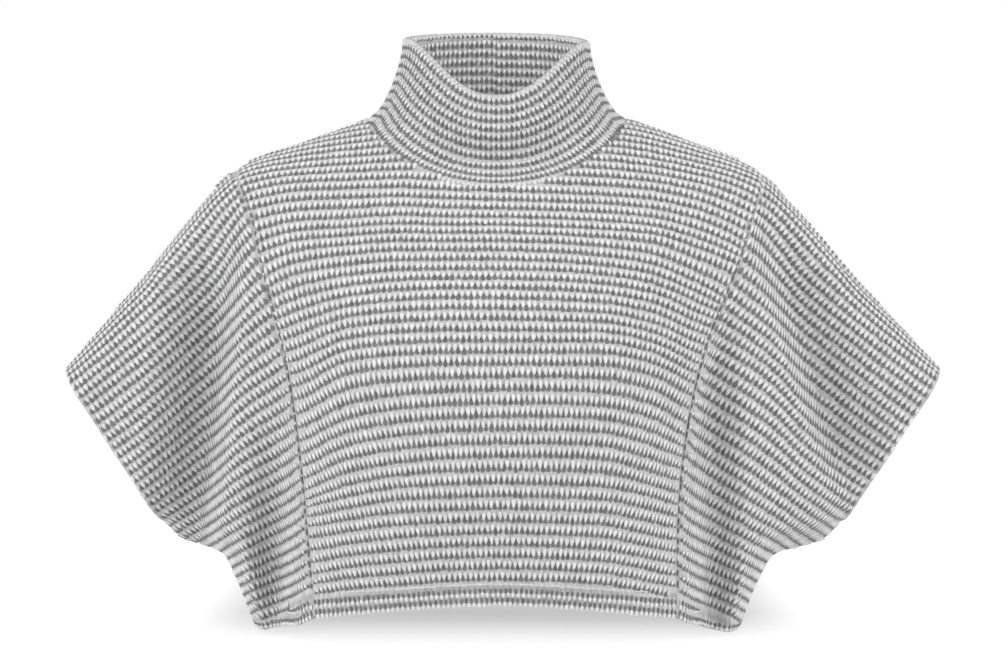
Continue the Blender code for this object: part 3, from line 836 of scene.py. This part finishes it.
def panel_grid(side, face):
    """Half a panel: its grid for the shell, with its seams drawn in and its hem turned up, and the
    places of its stitches, its hem's stitches and its hem's thread."""
    points = panel_points(side, face)
    facing = facing_of(points, face)
    from_wing = distance_to(points, points[:, -1])
    from_neck = distance_to(points, points[DOWN <= NECK_DOWN + 1e-9, 0])
    from_seam = np.minimum(np.minimum(from_wing, from_neck), distance_to(points, points[0]))
    from_hem = distance_to(points, points[-1])
    sunk = drawn_in(from_seam)
    roll = rolled_edge(from_hem, HEM_WALL / 2)
    outer = STITCH_RISE + sunk + roll * (HEM_WALL - STITCH_RISE) / HEM_WALL
    inner = wall_near(from_hem, HEM_TURN_UP, HEM_WALL) + sunk - roll
    rows = knit_rows(points, face, ROW_NUMBERS, row_heights(side, face), SHOULDER_ROW)
    shift = np.random.default_rng(40 + face).random(MOST_ROWS)

    def first(number):
        """How far from the centre line a row starts. The two halves go on from each other."""
        return shift[number] if side == LEFT else 1.0 - shift[number]

    def first_in_hem(number):
        return HEM_SHIFT * number if side == LEFT else 1.0 - HEM_SHIFT * number

    surface = points - facing * outer[..., None]
    above_thread = from_hem - HEM_THREAD + THREAD_ROOM
    room = np.minimum(np.minimum(from_seam - SEAM_ROOM, from_wing - WING_SEAM_ROOM), above_thread)
    tall = beside_seam(from_wing, points[..., 2])
    knit = knit_places(points, surface, facing, rows, room, tall, first, seed_for(10, side, face))
    hem_rooms = [from_seam - SEAM_ROOM] * 2
    hem = hem_places(surface, facing, from_hem, hem_rooms, (None, None), first_in_hem, 5)
    thread = thread_places(surface, facing, from_hem, first_in_hem)
    return shell_grid(points, face, outer, inner, rows), *knit, *hem, thread


def sew_piece(name, parts, seed):
    """A piece of cloth in place of its solid, with all its stitches on it."""
    cloth = cloth_shell(name + "_cloth", [part[0] for part in parts], grey_wool)
    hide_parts(name)
    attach(cloth, "root")
    white, dark, hem_dark, hem_white = (
        np.concatenate([part[i] for part in parts]) for i in range(1, 5)
    )
    return cloth, [
        sewn(name + "_white_stitches", white, seed, **WHITE_DROP),
        sewn(name + "_dark_stitches", dark, seed + 50, **DARK_DROP),
        sewn(name + "_hem_white_stitches", hem_white, seed + 60, **HEM_WHITE),
        sewn(name + "_hem_dark_stitches", hem_dark, seed + 70, **HEM_DARK),
    ]


def sew_panel(name, face, seed):
    """The front or the back panel, with the thread that holds its hem."""
    halves = [panel_grid(side, face) for side in (RIGHT, LEFT)]
    cloth, stitches = sew_piece(name, halves, seed)
    thread = np.concatenate([half[5] for half in halves])
    return cloth, stitches + [sewn(name + "_hem_thread", thread, seed + 80, **HEM_LIGHT_THREAD)]


front_panel, front_stitches = sew_panel("front_panel", FRONT, 1)
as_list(front_stitches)


# Back panel. The same knit and cut as the front, with a higher neck edge and a flatter fall. The
# photograph doesn't show it, so it is finished as plainly as the front.
back_panel, back_stitches = sew_panel("back_panel", BACK, 2)
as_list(back_stitches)


# Wings. Each is a sleeve and a side of the body in one, folded over the arm, sewn to itself under
# the arm and down the side, with an open cuff whose edge is turned in. Deep soft folds run from the
# shoulder towards the underarm, and beside the panels' seams.
CUFF_TOP_X = {RIGHT: 338.5, LEFT: 344.5}
CUFF_DOWN = 0.58
CUFF_TURN, UNDERARM_TURN, SIDE_TURN = 30.0, 34.0, 23.0
UNDERARM_DOWN, UNDERARM_LENGTH, SIDE_DOWN = 0.66, 0.16, 0.74
SIDE_SEAM_FORWARD = 12.0
CUFF_WALL = 3.6
CUFF_TURN_IN = 14.0
CUFF_ROOM = 1.6
OUTER_ROLL = 0.8
# Beside the panels, the hem's own rows take the last of the edge as far out as HEM_CAUGHT. From there
# on, the rows of the knit run down to the row at the edge.
HEM_CAUGHT, CAUGHT_STEP = 40.0, 16.0
WING_EDGE_ROW = 9.0
HEM_FADE_FROM, HEM_FADE = 14.0, (0.6, 0.25)
WING_EDGE = table(
    "down right left z front back",
    (0.00, 338.5, 344.5, -192.0, -44.0, 40.0),
    (0.13, 319.5, 326.0, -219.0, -44.0, 40.0),
    (0.29, 297.5, 303.0, -254.0, -44.0, 40.0),
    (0.45, 275.0, 281.0, -288.5, -44.0, 40.0),
    (0.58, 260.0, 265.5, -313.5, -44.0, 40.0),
    (0.63, 246.0, 251.5, -326.5, -48.0, 43.0),
    (0.69, 229.0, 235.0, -331.5, -53.0, 47.0),
    (0.74, 215.0, 215.0, -337.2, -58.0, 50.0),
    (0.80, 206.5, 204.5, -352.0, -66.0, 54.0),
    (0.90, 197.0, 194.5, -373.0, -76.0, 58.0),
    (1.00, 189.5, 187.5, -391.0, -80.0, 60.0),
)
WING_HEM = table(
    "out right left back",
    (0.0, -373.0, -373.0, -373.0), (0.3, -381.0, -381.5, -379.0), (0.6, -387.2, -389.3, -385.0),
    (0.85, -391.0, -391.0, -389.0), (1.0, -391.0, -391.0, -391.0),
)
FOLDS = table(
    "side face x_start x_end z_start z_full z_fade z_end depth wall release",
    (RIGHT, FRONT, 206, 237, -42, -180, -336, -350, 38, 25, 48),
    (LEFT, FRONT, 192, 286, -46, -150, -232, -330, 27, 24, 46),
    (RIGHT, FRONT, 166, 170, -170, -350, -395, -420, 28, 22, 28),
    (RIGHT, FRONT, 174, 170, -290, -365, -395, -420, 9, 20, 24),
    (LEFT, FRONT, 156, 162, -90, -260, -395, -420, 21, 22, 28),
    (LEFT, FRONT, 162, 160, -290, -365, -395, -420, 11, 20, 24),
    (RIGHT, BACK, 210, 222, -45, -170, -300, -345, 26, 27, 60),
    (LEFT, BACK, 210, 228, -45, -160, -290, -345, 26, 27, 60),
)
FOLD_OUT, FOLD_DOWN = 0.07, 0.1
OUT = np.concatenate(
    (
        (0.0, 0.006, 0.013, 0.021, 0.03),
        np.linspace(0.042, 0.945, 62),
        (0.956, 0.967, 0.977, 0.985, 0.991, 0.9955, 0.9985, 1.0),
    )
)


def quarter_turn(t):
    """Rises like a quarter of an ellipse, for cloth that rounds over into an edge."""
    return np.sqrt(1 - (1 - np.clip(t, 0.0, 1.0)) ** 2)


def wing_edge(side, down):
    """The outer edge of a wing: down the cuff, under the arm and down the side seam."""
    x = side * curve(WING_EDGE["down"], WING_EDGE[side_name(side)], down)
    return x, curve(WING_EDGE["down"], WING_EDGE["z"], down)


def fold_depth(side, face, x, z):
    """How far the folds push the cloth in: a steep wall towards the body and a slow release."""
    depth = np.zeros_like(x)
    for i in range(len(FOLDS["side"])):
        fold = {key: column[i] for key, column in FOLDS.items()}
        if fold["side"] != side or fold["face"] != face:
            continue
        along = (fold["z_start"] - z) / (fold["z_start"] - fold["z_end"])
        valley = fold["x_start"] + (fold["x_end"] - fold["x_start"]) * np.clip(along, 0, 1)
        off = np.abs(x) - valley
        width = np.where(off < 0, fold["wall"], fold["release"])
        rise = ease((fold["z_start"] - z) / (fold["z_start"] - fold["z_full"]))
        fade = 1 - ease((fold["z_fade"] - z) / (fold["z_fade"] - fold["z_end"]))
        depth += fold["depth"] * rise * fade * (1 - ease(np.abs(off) / width))
    return depth


def wing_points(side, face):
    """Front or back half of a wing, as rows of points from the overarm line down to the hem."""
    down, out = np.meshgrid(DOWN, OUT, indexing="ij")
    x_seam, y_seam, z_seam = wing_seam(side, face, down)
    x_edge, z_edge = wing_edge(side, down)
    x_ridge = side * (SHOULDER_X + (CUFF_TOP_X[side] - SHOULDER_X) * out)
    z_ridge = shoulder_z(side, np.abs(x_ridge))
    x_hem_seam, _, z_hem_seam = wing_seam(side, face, np.float64(1.0))
    x_hem_side, z_hem_side = wing_edge(side, np.float64(1.0))
    x_hem = x_hem_seam + (x_hem_side - x_hem_seam) * out
    z_hem = curve(WING_HEM["out"], WING_HEM[side_name(side) if face == FRONT else "back"], out)

    def filled(seam, edge, ridge, hem, corners):
        """The surface between four edges: both ways across, less what they count twice."""
        both = (1 - out) * seam + out * edge + (1 - down) * ridge + down * hem
        twice = (1 - down) * ((1 - out) * corners[0] + out * corners[1])
        return both - twice - down * ((1 - out) * corners[2] + out * corners[3])

    cuff_top_x, cuff_top_z = CUFF_TOP_X[side], shoulder_z(side, CUFF_TOP_X[side])
    z_edge = z_edge + (cuff_top_z - WING_EDGE["z"][0]) * (1 - ease(down / CUFF_DOWN))
    x_corners = side * SHOULDER_X, side * cuff_top_x, x_hem_seam, x_hem_side
    z_corners = shoulder_z(side, SHOULDER_X), cuff_top_z, z_hem_seam, z_hem_side
    x = filled(x_seam, x_edge, x_ridge, x_hem, x_corners)
    z = filled(z_seam, z_edge, z_ridge, z_hem, z_corners)

    cuff_end_x, cuff_end_z = wing_edge(side, np.float64(CUFF_DOWN))
    cuff_length = math.hypot(cuff_top_x - abs(cuff_end_x), cuff_top_z - cuff_end_z)
    over_top = quarter_turn(down / CUFF_DOWN * cuff_length / CUFF_TURN)
    deep = curve(WING_EDGE["down"], WING_EDGE[face_name(face)], down) * over_top
    y = (1 - out) * y_seam + out * deep
    y = y - face * fold_depth(side, face, x, z) * ease(out / FOLD_OUT) * ease(down / FOLD_DOWN)

    # Towards the underarm and the side seam, front and back round in until they meet.
    marks = np.linspace(CUFF_DOWN, 1.0, 90)
    closed = np.column_stack(wing_edge(side, marks))
    flat = np.stack((x, z), axis=-1)
    away = distance_to(flat, closed)
    nearest = marks[np.argmin(np.linalg.norm(flat[..., None, :] - closed, axis=-1), axis=-1)]
    away = np.where((out == 1.0) & (down >= CUFF_DOWN), 0.0, away)
    on_side = ease((nearest - UNDERARM_DOWN) / UNDERARM_LENGTH)
    turn = UNDERARM_TURN + (SIDE_TURN - UNDERARM_TURN) * on_side
    meet = -SIDE_SEAM_FORWARD * ease((nearest - SIDE_DOWN) / (1.0 - SIDE_DOWN))
    y = meet + (y - meet) * quarter_turn(away / turn)
    return np.stack((x, y, z), axis=-1)


# A wing's rows slant down from the panels to the cuff. The height of every fourth row at each distance
# from the middle, on the wearer's right and left.
WING_ROW_AT = np.array((110, 145, 175, 190, 205, 220, 235, 275, 325, 372), float)
WING_ROW_NUMBER = np.arange(4.0, 45.0, 4.0)
WING_ROW_Z = {
    RIGHT: np.array((
        (185, 94, 33, 9, -13, -32, -51, -98, -145, -182),
        (124, 35, -17, -35, -53, -73, -94, -133, -177, -212),
        (50, -26, -68, -82, -99, -122, -138, -173, -212, -246),
        (-31, -88, -121, -134, -149, -166, -180, -215, -251, -280),
        (-108, -147, -171, -181, -193, -209, -222, -255, -288, -316),
        (-168, -196, -216, -225, -236, -250, -262, -292, -322, -349),
        (-215, -239, -260, -268, -277, -289, -300, -325, -355, -382),
        (-257, -281, -301, -309, -317, -326, -335, -358, -386, -411),
        (-298, -322, -339, -346, -353, -361, -369, -391, -417, -441),
        (-340, -360, -374, -380, -387, -395, -403, -424, -448, -470),
        (-380, -395, -408, -414, -421, -429, -437, -457, -479, -499),
    ), float),
    LEFT: np.array((
        (150, 75, 25, 4, -15, -33, -51, -92, -133, -167),
        (87, 17, -26, -42, -57, -75, -94, -130, -169, -203),
        (14, -43, -79, -92, -104, -121, -138, -170, -207, -240),
        (-58, -102, -130, -141, -152, -165, -180, -213, -249, -279),
        (-120, -153, -176, -185, -195, -208, -224, -257, -290, -319),
        (-173, -201, -222, -231, -241, -253, -267, -296, -327, -355),
        (-221, -247, -269, -278, -288, -298, -309, -334, -364, -391),
        (-267, -295, -314, -322, -330, -338, -348, -371, -400, -426),
        (-315, -338, -353, -360, -368, -376, -385, -408, -435, -459),
        (-361, -377, -390, -398, -406, -415, -423, -445, -471, -494),
        (-402, -416, -430, -437, -445, -453, -461, -481, -506, -527),
    ), float),
}
WING_ROW_NUMBERS = np.arange(4.0, 44.01, ROW_PART)
WING_SHOULDER_ROW = 10.0
WING_ROW_START, WING_ROW_SPREAD = 0.3, 0.4

# The seams between the wings and the panels are sewn from inside. Where the rows of the two pieces meet
# in them, they draw in to a dark stitch with a light speck after it.
SEAM_STITCH, SEAM_STRAY = 7.8, 0.8
SEAM_FROM, SEAM_ABOVE_THREAD = 0.12, 2.0
SEAM_DARK = drop_of(charcoal_wool, 0.45, 0.74, thickness=1.7, rise=0.9, unevenness=0.28)
SEAM_WHITE = drop_of(white_wool, 0.42, 0.30, thickness=1.5, rise=0.6, up=0.5, unevenness=0.3)


def seam_places(line, facing, seed):
    """Places of the stitches along the seam between a wing and a panel."""
    length = length_along(line)
    at = np.arange(SEAM_FROM * length[-1], length[-1] - HEM_THREAD - SEAM_ABOVE_THREAD, SEAM_STITCH)
    at = at + np.random.default_rng(seed).normal(0.0, SEAM_STRAY, len(at))
    facing_out = values_at(at, length, facing)
    up = unit(-values_at(at, length, np.gradient(line, axis=0)))
    along = unit(np.cross(up, facing_out))
    sizes = np.full((len(at), 2), (SEAM_STITCH, STITCH_PITCH))
    return np.column_stack((values_at(at, length, line), along, facing_out, sizes))


def wing_grid(side, face):
    """Half a wing: its grid for the shell, with its seams, its hem and its cuff, and the places of its
    stitches, its hem's stitches and its seam's."""
    points = wing_points(side, face)
    facing = facing_of(points, face)
    from_seam = distance_to(points, points[:, 0])
    from_side = distance_to(points, points[DOWN >= CUFF_DOWN - 1e-9, -1])
    from_hem = distance_to(points, points[-1])
    from_cuff = distance_to(points, points[DOWN <= CUFF_DOWN + 1e-9, -1])
    sunk = np.maximum(drawn_in(from_seam), drawn_in(from_side))
    at_hem = wall_near(from_hem, HEM_TURN_UP, HEM_WALL)
    at_cuff = wall_near(from_cuff, CUFF_TURN_IN, CUFF_WALL)
    roll = np.maximum(rolled_edge(from_hem, HEM_WALL / 2), rolled_edge(from_cuff, CUFF_WALL / 2))
    outer = STITCH_RISE + sunk + OUTER_ROLL * roll
    inner = np.maximum(at_hem, at_cuff) + sunk - roll
    heights = drawn_out(WING_ROW_Z[side], WING_ROW_NUMBER, WING_ROW_AT, WING_ROW_NUMBERS)
    rows = knit_rows(points, face, WING_ROW_NUMBERS, heights, WING_SHOULDER_ROW)
    shift = np.random.default_rng(60 + 2 * side + face).random(MOST_ROWS)

    def first(number):
        """How far from the panel's seam a row starts."""
        return WING_ROW_START + WING_ROW_SPREAD * shift[number]

    def first_in_hem(number):
        return HEM_SHIFT * number

    surface = points - facing * outer[..., None]
    beside = np.minimum(from_seam - WING_SEAM_ROOM, from_side - SEAM_ROOM)
    caught = 1 - ease((from_seam - HEM_CAUGHT + CAUGHT_STEP / 2) / CAUGHT_STEP)
    above_hem = from_hem - WING_EDGE_ROW - (HEM_THREAD - THREAD_ROOM - WING_EDGE_ROW) * caught
    room = np.minimum(np.minimum(beside, above_hem), from_cuff - CUFF_ROOM)
    tall = beside_seam(from_seam, points[..., 2])
    knit = knit_places(points, surface, facing, rows, room, tall, first, seed_for(20, side, face))
    fading = ease((from_seam - HEM_FADE_FROM) / (HEM_CAUGHT - HEM_FADE_FROM))
    hem_rooms = np.where(from_seam < HEM_CAUGHT, beside, -1.0), beside
    hem_talls = [1 - fade * fading for fade in HEM_FADE]
    hem = hem_places(surface, facing, from_hem, hem_rooms, hem_talls, first_in_hem, 6)
    seam = seam_places(surface[:, 0], facing[:, 0], seed_for(70, side, face))
    return shell_grid(points, face, outer, inner, rows), *knit, *hem, seam


for side in (RIGHT, LEFT):
    name = "wing_" + side_name(side)
    halves = [wing_grid(side, face) for face in (FRONT, BACK)]
    wing, wing_stitches = sew_piece(name, halves, 5 + side)
    seam = np.concatenate([half[5] for half in halves])
    wing_stitches.append(sewn(name + "_seam_dark_stitches", seam, 90 + side, **SEAM_DARK))
    wing_stitches.append(sewn(name + "_seam_white_stitches", seam, 94 + side, **SEAM_WHITE))
    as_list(wing_stitches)


# Collar. A strip of the same knit, folded double along its top edge, joined into a ring at the centre
# back and sewn to the neck edge. It stands up as a funnel, so its inside shows the right side too.
COLLAR_HALF_WIDTH, COLLAR_DEEP, COLLAR_ROUNDNESS = 73.0, 58.0, 0.9
COLLAR_FRONT_Z, COLLAR_BACK_Z, COLLAR_FRONT_CURVE = 18.5, 72.0, 3.5
COLLAR_SIDE_Z = {RIGHT: 65.0, LEFT: 62.5}
# Most of the flare is an even lean. The rest is the turn into the shoulders at the seam.
COLLAR_LEAN, LEAN_CURVE, TURN_CURVE = 0.76, 1.7, 14
COLLAR_DENT, DENT_TURN, DENT_WITHIN = 12.0, 0.55, 0.75
DENT_UP, DENT_FADE = 0.24, 0.36
COLLAR_WALL = 5.0
COLLAR_SEWN_IN = 2.6
COLLAR_ROW_PITCH = 7.0
COLLAR_STITCH_PITCH = 3.95
COLLAR_FIRST_ROW = 5.4
COLLAR_SIDE_BAND = 1.8
WHITE_INTO_SEAM, DARK_INTO_SEAM = 9.0, 0.6
LINING_HIGHER = 2.6
LINING_SEAM_STEP = 1.5
LINING_LOWEST = 0.5
LINING_WHITE_FROM = 4.6
RIM_DOWN, RIM_OVER = 2.9, 0.8
RIM_RIB = drop_of(white_wool, 0.92, 1.0, thickness=5.8, rise=0.0, unevenness=0.08)
COLLAR_TURN = np.linspace(0.0, math.pi / 2, 49)
COLLAR_UP = np.concatenate(
    (
        (0.0, 0.008, 0.018, 0.03, 0.045),
        np.linspace(0.065, 0.94, 36),
        (0.955, 0.968, 0.978, 0.986, 0.992, 0.9965, 1.0),
    )
)


def collar_points(side, face):
    """A quarter of the collar, as rows of points from the top edge down to the neck seam."""
    turn, up = np.meshgrid(COLLAR_TURN, COLLAR_UP, indexing="ij")
    x0, y0, z0 = neck_ring(side, face, turn)
    x1 = NECK_X + side * COLLAR_HALF_WIDTH * np.cos(turn) ** COLLAR_ROUNDNESS
    y1 = face * COLLAR_DEEP * np.sin(turn) ** COLLAR_ROUNDNESS
    z1 = COLLAR_SIDE_Z[side]
    if face == FRONT:
        z1 = z1 + (COLLAR_FRONT_Z - z1) * np.sin(turn) ** COLLAR_FRONT_CURVE
    else:
        z1 = z1 + (COLLAR_BACK_Z - z1) * np.sin(turn)
    flare = COLLAR_LEAN * (1 - up) ** LEAN_CURVE + (1 - COLLAR_LEAN) * (1 - up) ** TURN_CURVE
    y = y1 + (y0 - y1) * flare
    if face == FRONT:
        dent = COLLAR_DENT * ease((turn - DENT_TURN) / DENT_WITHIN) * ease(up / DENT_UP)
        y = y + dent * (1 - ease((up - DENT_UP) / DENT_FADE))
    points = np.stack((x1 + (x0 - x1) * flare, y, z0 + (z1 - z0) * up), axis=-1)
    return points[:, ::-1].swapaxes(0, 1)


def collar_grid(side, face):
    """A quarter of the collar: its grid for the shell, and the places of its stitches, outside and in
    the lining, and of the ribs over its edge."""
    points = collar_points(side, face)
    facing = facing_of(points, face)
    from_seam = distance_to(points, points[-1])
    from_top = distance_to(points, points[0])
    sunk = drawn_in(from_seam)
    roll = rolled_edge(from_top, COLLAR_WALL / 2)
    outer = STITCH_RISE + sunk + OUTER_ROLL * roll
    inner = COLLAR_WALL - STITCH_RISE + sunk - OUTER_ROLL * roll
    first_row = COLLAR_FIRST_ROW + COLLAR_SIDE_BAND * (1 - np.sin(COLLAR_TURN))
    rows = 1 + (from_top - first_row) / COLLAR_ROW_PITCH
    shift = np.random.default_rng(80).random(40)

    def first(number):
        """How far from the shoulder a row starts. The front and the back go on from each other."""
        return shift[number] if face == FRONT else 1.0 - shift[number]

    def pitch(number):
        return COLLAR_STITCH_PITCH

    def under_seam(values):
        """A grid that goes on a little below the neck seam, where the last stitches are sewn in."""
        away = from_seam[-5].reshape(-1, *[1] * (values.ndim - 2))
        step = (values[-1] - values[-5]) * COLLAR_SEWN_IN / away
        return np.concatenate((values, values[-1:] + step))

    outside = under_seam(points - facing * outer[..., None])
    inside = under_seam(points - facing * inner[..., None])
    facing_out = np.concatenate((facing, facing[-1:]))
    number = under_seam(rows)
    numbers = range(1, math.floor(number.max()) + 2)
    # At the centre back, where the strip is joined, the lining's rows don't quite meet.
    at_join = side == LEFT and face == BACK
    step = LINING_SEAM_STEP * np.sin(COLLAR_TURN) if at_join else 0.0
    lining_number = number + (LINING_HIGHER - step) / COLLAR_ROW_PITCH
    lining_tall = LINING_LOWEST + (1 - LINING_LOWEST) * ease(lining_number - 1.0)
    to_the_middle = side == LEFT
    places = []
    for dark in (False, True):
        room = under_seam(from_seam) + (DARK_INTO_SEAM if dark else WHITE_INTO_SEAM)
        shown = stitch_places(
            outside, facing_out, number, room, numbers, first, pitch,
            seed_for(30, side, face), dark, to_the_middle,
        )
        room = np.ones_like(number) if dark else under_seam(from_top) - LINING_WHITE_FROM
        lining = stitch_places(
            inside, -facing_out, lining_number, room, numbers, first, pitch,
            seed_for(36, side, face), dark, to_the_middle, lining_tall,
        )
        places.append(np.concatenate((shown, lining)))
    return shell_grid(points, face, outer, inner, rows), *places, rim_places(points, facing)


def rim_places(points, facing):
    """Places of the ribs of the knit where it folds over the top edge of the collar."""
    up = unit(points[0] - points[4])
    rim = points[0] - facing[0] * COLLAR_WALL / 2 - up * RIM_DOWN
    length = length_along(rim)
    wide = length[-1] / round(length[-1] / COLLAR_STITCH_PITCH)
    at = np.arange(wide / 2, length[-1], wide)
    along = unit(values_at(at, length, np.gradient(rim, axis=0)))
    sizes = np.full((len(at), 2), (COLLAR_WALL + RIM_OVER, wide))
    return np.column_stack((values_at(at, length, rim), along, values_at(at, length, up), sizes))


quarters = [collar_grid(side, face) for side in (RIGHT, LEFT) for face in (FRONT, BACK)]
collar = cloth_shell("collar_cloth", [quarter[0] for quarter in quarters], grey_wool, doubled=True)
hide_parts("collar")
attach(collar, "root")
white, dark, rim = (np.concatenate([quarter[i] for quarter in quarters]) for i in (1, 2, 3))
collar_stitches = [
    sewn("collar_white_stitches", white, 8, **{**WHITE_DROP, "Height": 0.56}),
    sewn("collar_dark_stitches", dark, 58, **{**DARK_DROP, "Height": 0.74}),
    sewn("collar_rim_ribs", rim, 68, **RIM_RIB),
]


# Floor, light and camera. A white light table just below the hem, its glow turned down under and behind
# the garment as a painted shadow, a white wall, a softly lit room, two broad soft lamps in front, the
# left one a little stronger, and a small one in the collar. The camera is straight in front of the
# garment, a little above its middle.
FLOOR_Z, FLOOR_HALF = -0.394, 8
# The light table's glow, and how much of it the painted shadow under and behind the garment takes away.
FLOOR_GLOW, FLOOR_PAINTED_SHADOW = 0.95, 0.49
WHITE = (1.0, 1.0, 1.0, 1.0)


def mapped(tree, value, start, end, low, high, way="LINEAR"):
    """A value that goes from low to high as another goes from start to end."""
    inputs = {"Value": value, "From Min": start, "From Max": end, "To Min": low, "To Max": high}
    return add_node(tree, "ShaderNodeMapRange", inputs, interpolation_type=way).outputs[0]


corners = [(x * FLOOR_HALF, y * FLOOR_HALF, FLOOR_Z) for x, y in ((-1, -1), (1, -1), (1, 1), (-1, 1))]
floor_mesh = bpy.data.meshes.new("floor")
floor_mesh.from_pydata(corners, [], [(0, 1, 2, 3)])
floor = add_object("floor", floor_mesh)
white_floor = bpy.data.materials.new("white_floor")
white_floor.use_nodes = True
tree = white_floor.node_tree
floor_shader = tree.nodes["Principled BSDF"].inputs
floor_shader["Base Color"].default_value = (0.08, 0.08, 0.08, 1.0)
floor_shader["Roughness"].default_value = 0.9
floor_shader["Emission Color"].default_value = WHITE
place = add_node(tree, "ShaderNodeTexCoord").outputs["Object"]
spot = add_node(tree, "ShaderNodeSeparateXYZ", {0: place}).outputs
# Painted shadow: the glow is turned down in a band as wide as the garment, from under its front hem all
# the way back behind it.
painted_shadow_across = mapped(tree, maths(tree, "ABSOLUTE", spot["X"]), 0.165, 0.265, 1.0, 0.0, "SMOOTHSTEP")
painted_shadow_behind = mapped(tree, spot["Y"], -0.125, 0.11, 0.0, 1.0, "SMOOTHSTEP")
glow_less_painted_shadow = maths(tree, "SUBTRACT", FLOOR_GLOW, times(tree, painted_shadow_across, painted_shadow_behind, FLOOR_PAINTED_SHADOW))
tree.links.new(glow_less_painted_shadow, floor_shader["Emission Strength"])
floor_mesh.materials.append(white_floor)

world = bpy.data.worlds.new("room")
world.use_nodes = True
tree = world.node_tree
place = add_node(tree, "ShaderNodeTexCoord").outputs["Generated"]
ahead = add_node(tree, "ShaderNodeSeparateXYZ", {0: place}).outputs
wall = mapped(tree, ahead["Y"], 0.80, 0.95, 0.6, 1.0)
ceiling = mapped(tree, ahead["Z"], 0.2, 0.9, 0.6, 0.95)
room_light = tree.nodes["Background"].inputs
tree.links.new(maths(tree, "MAXIMUM", wall, ceiling), room_light["Strength"])
room_light["Color"].default_value = WHITE
bpy.context.scene.world = world
bpy.context.scene.view_settings.view_transform = "Standard"

LAMP_HEIGHT, LAMP_SOFTNESS = math.radians(66.0), math.radians(50.0)
for name, turned, power in (("lamp_on_the_left", -64.0, 1.72), ("lamp_on_the_right", 64.0, 1.48)):
    light = bpy.data.lights.new(name, "SUN")
    light.angle = LAMP_SOFTNESS
    light.energy = power
    lamp = add_object(name, light)
    lamp.rotation_euler = (LAMP_HEIGHT, 0.0, math.radians(turned))

light = bpy.data.lights.new("lamp_in_the_collar", "POINT")
light.energy = 0.07
light.shadow_soft_size = 0.02
lamp = add_object("lamp_in_the_collar", light)
lamp.location = (0.0, -0.012, 0.024)
lamp.visible_camera = False

SENSOR_WIDTH = 36.0
VIEW_WIDTH = 1008 * 0.00078
CAMERA_DISTANCE = FRONT_VIEW_DISTANCE * MM
target_x, _, target_z = FRONT_VIEW_TARGET * MM
camera_data = bpy.data.cameras.new("camera")
camera_data.sensor_width = SENSOR_WIDTH
camera_data.lens = SENSOR_WIDTH * CAMERA_DISTANCE / VIEW_WIDTH
camera = add_object("camera", camera_data)
camera.location = (
    target_x,
    -CAMERA_DISTANCE * math.cos(FRONT_VIEW_TILT),
    target_z + CAMERA_DISTANCE * math.sin(FRONT_VIEW_TILT),
)
camera.rotation_euler = (math.pi / 2 - FRONT_VIEW_TILT, 0.0, 0.0)
bpy.context.scene.camera = camera
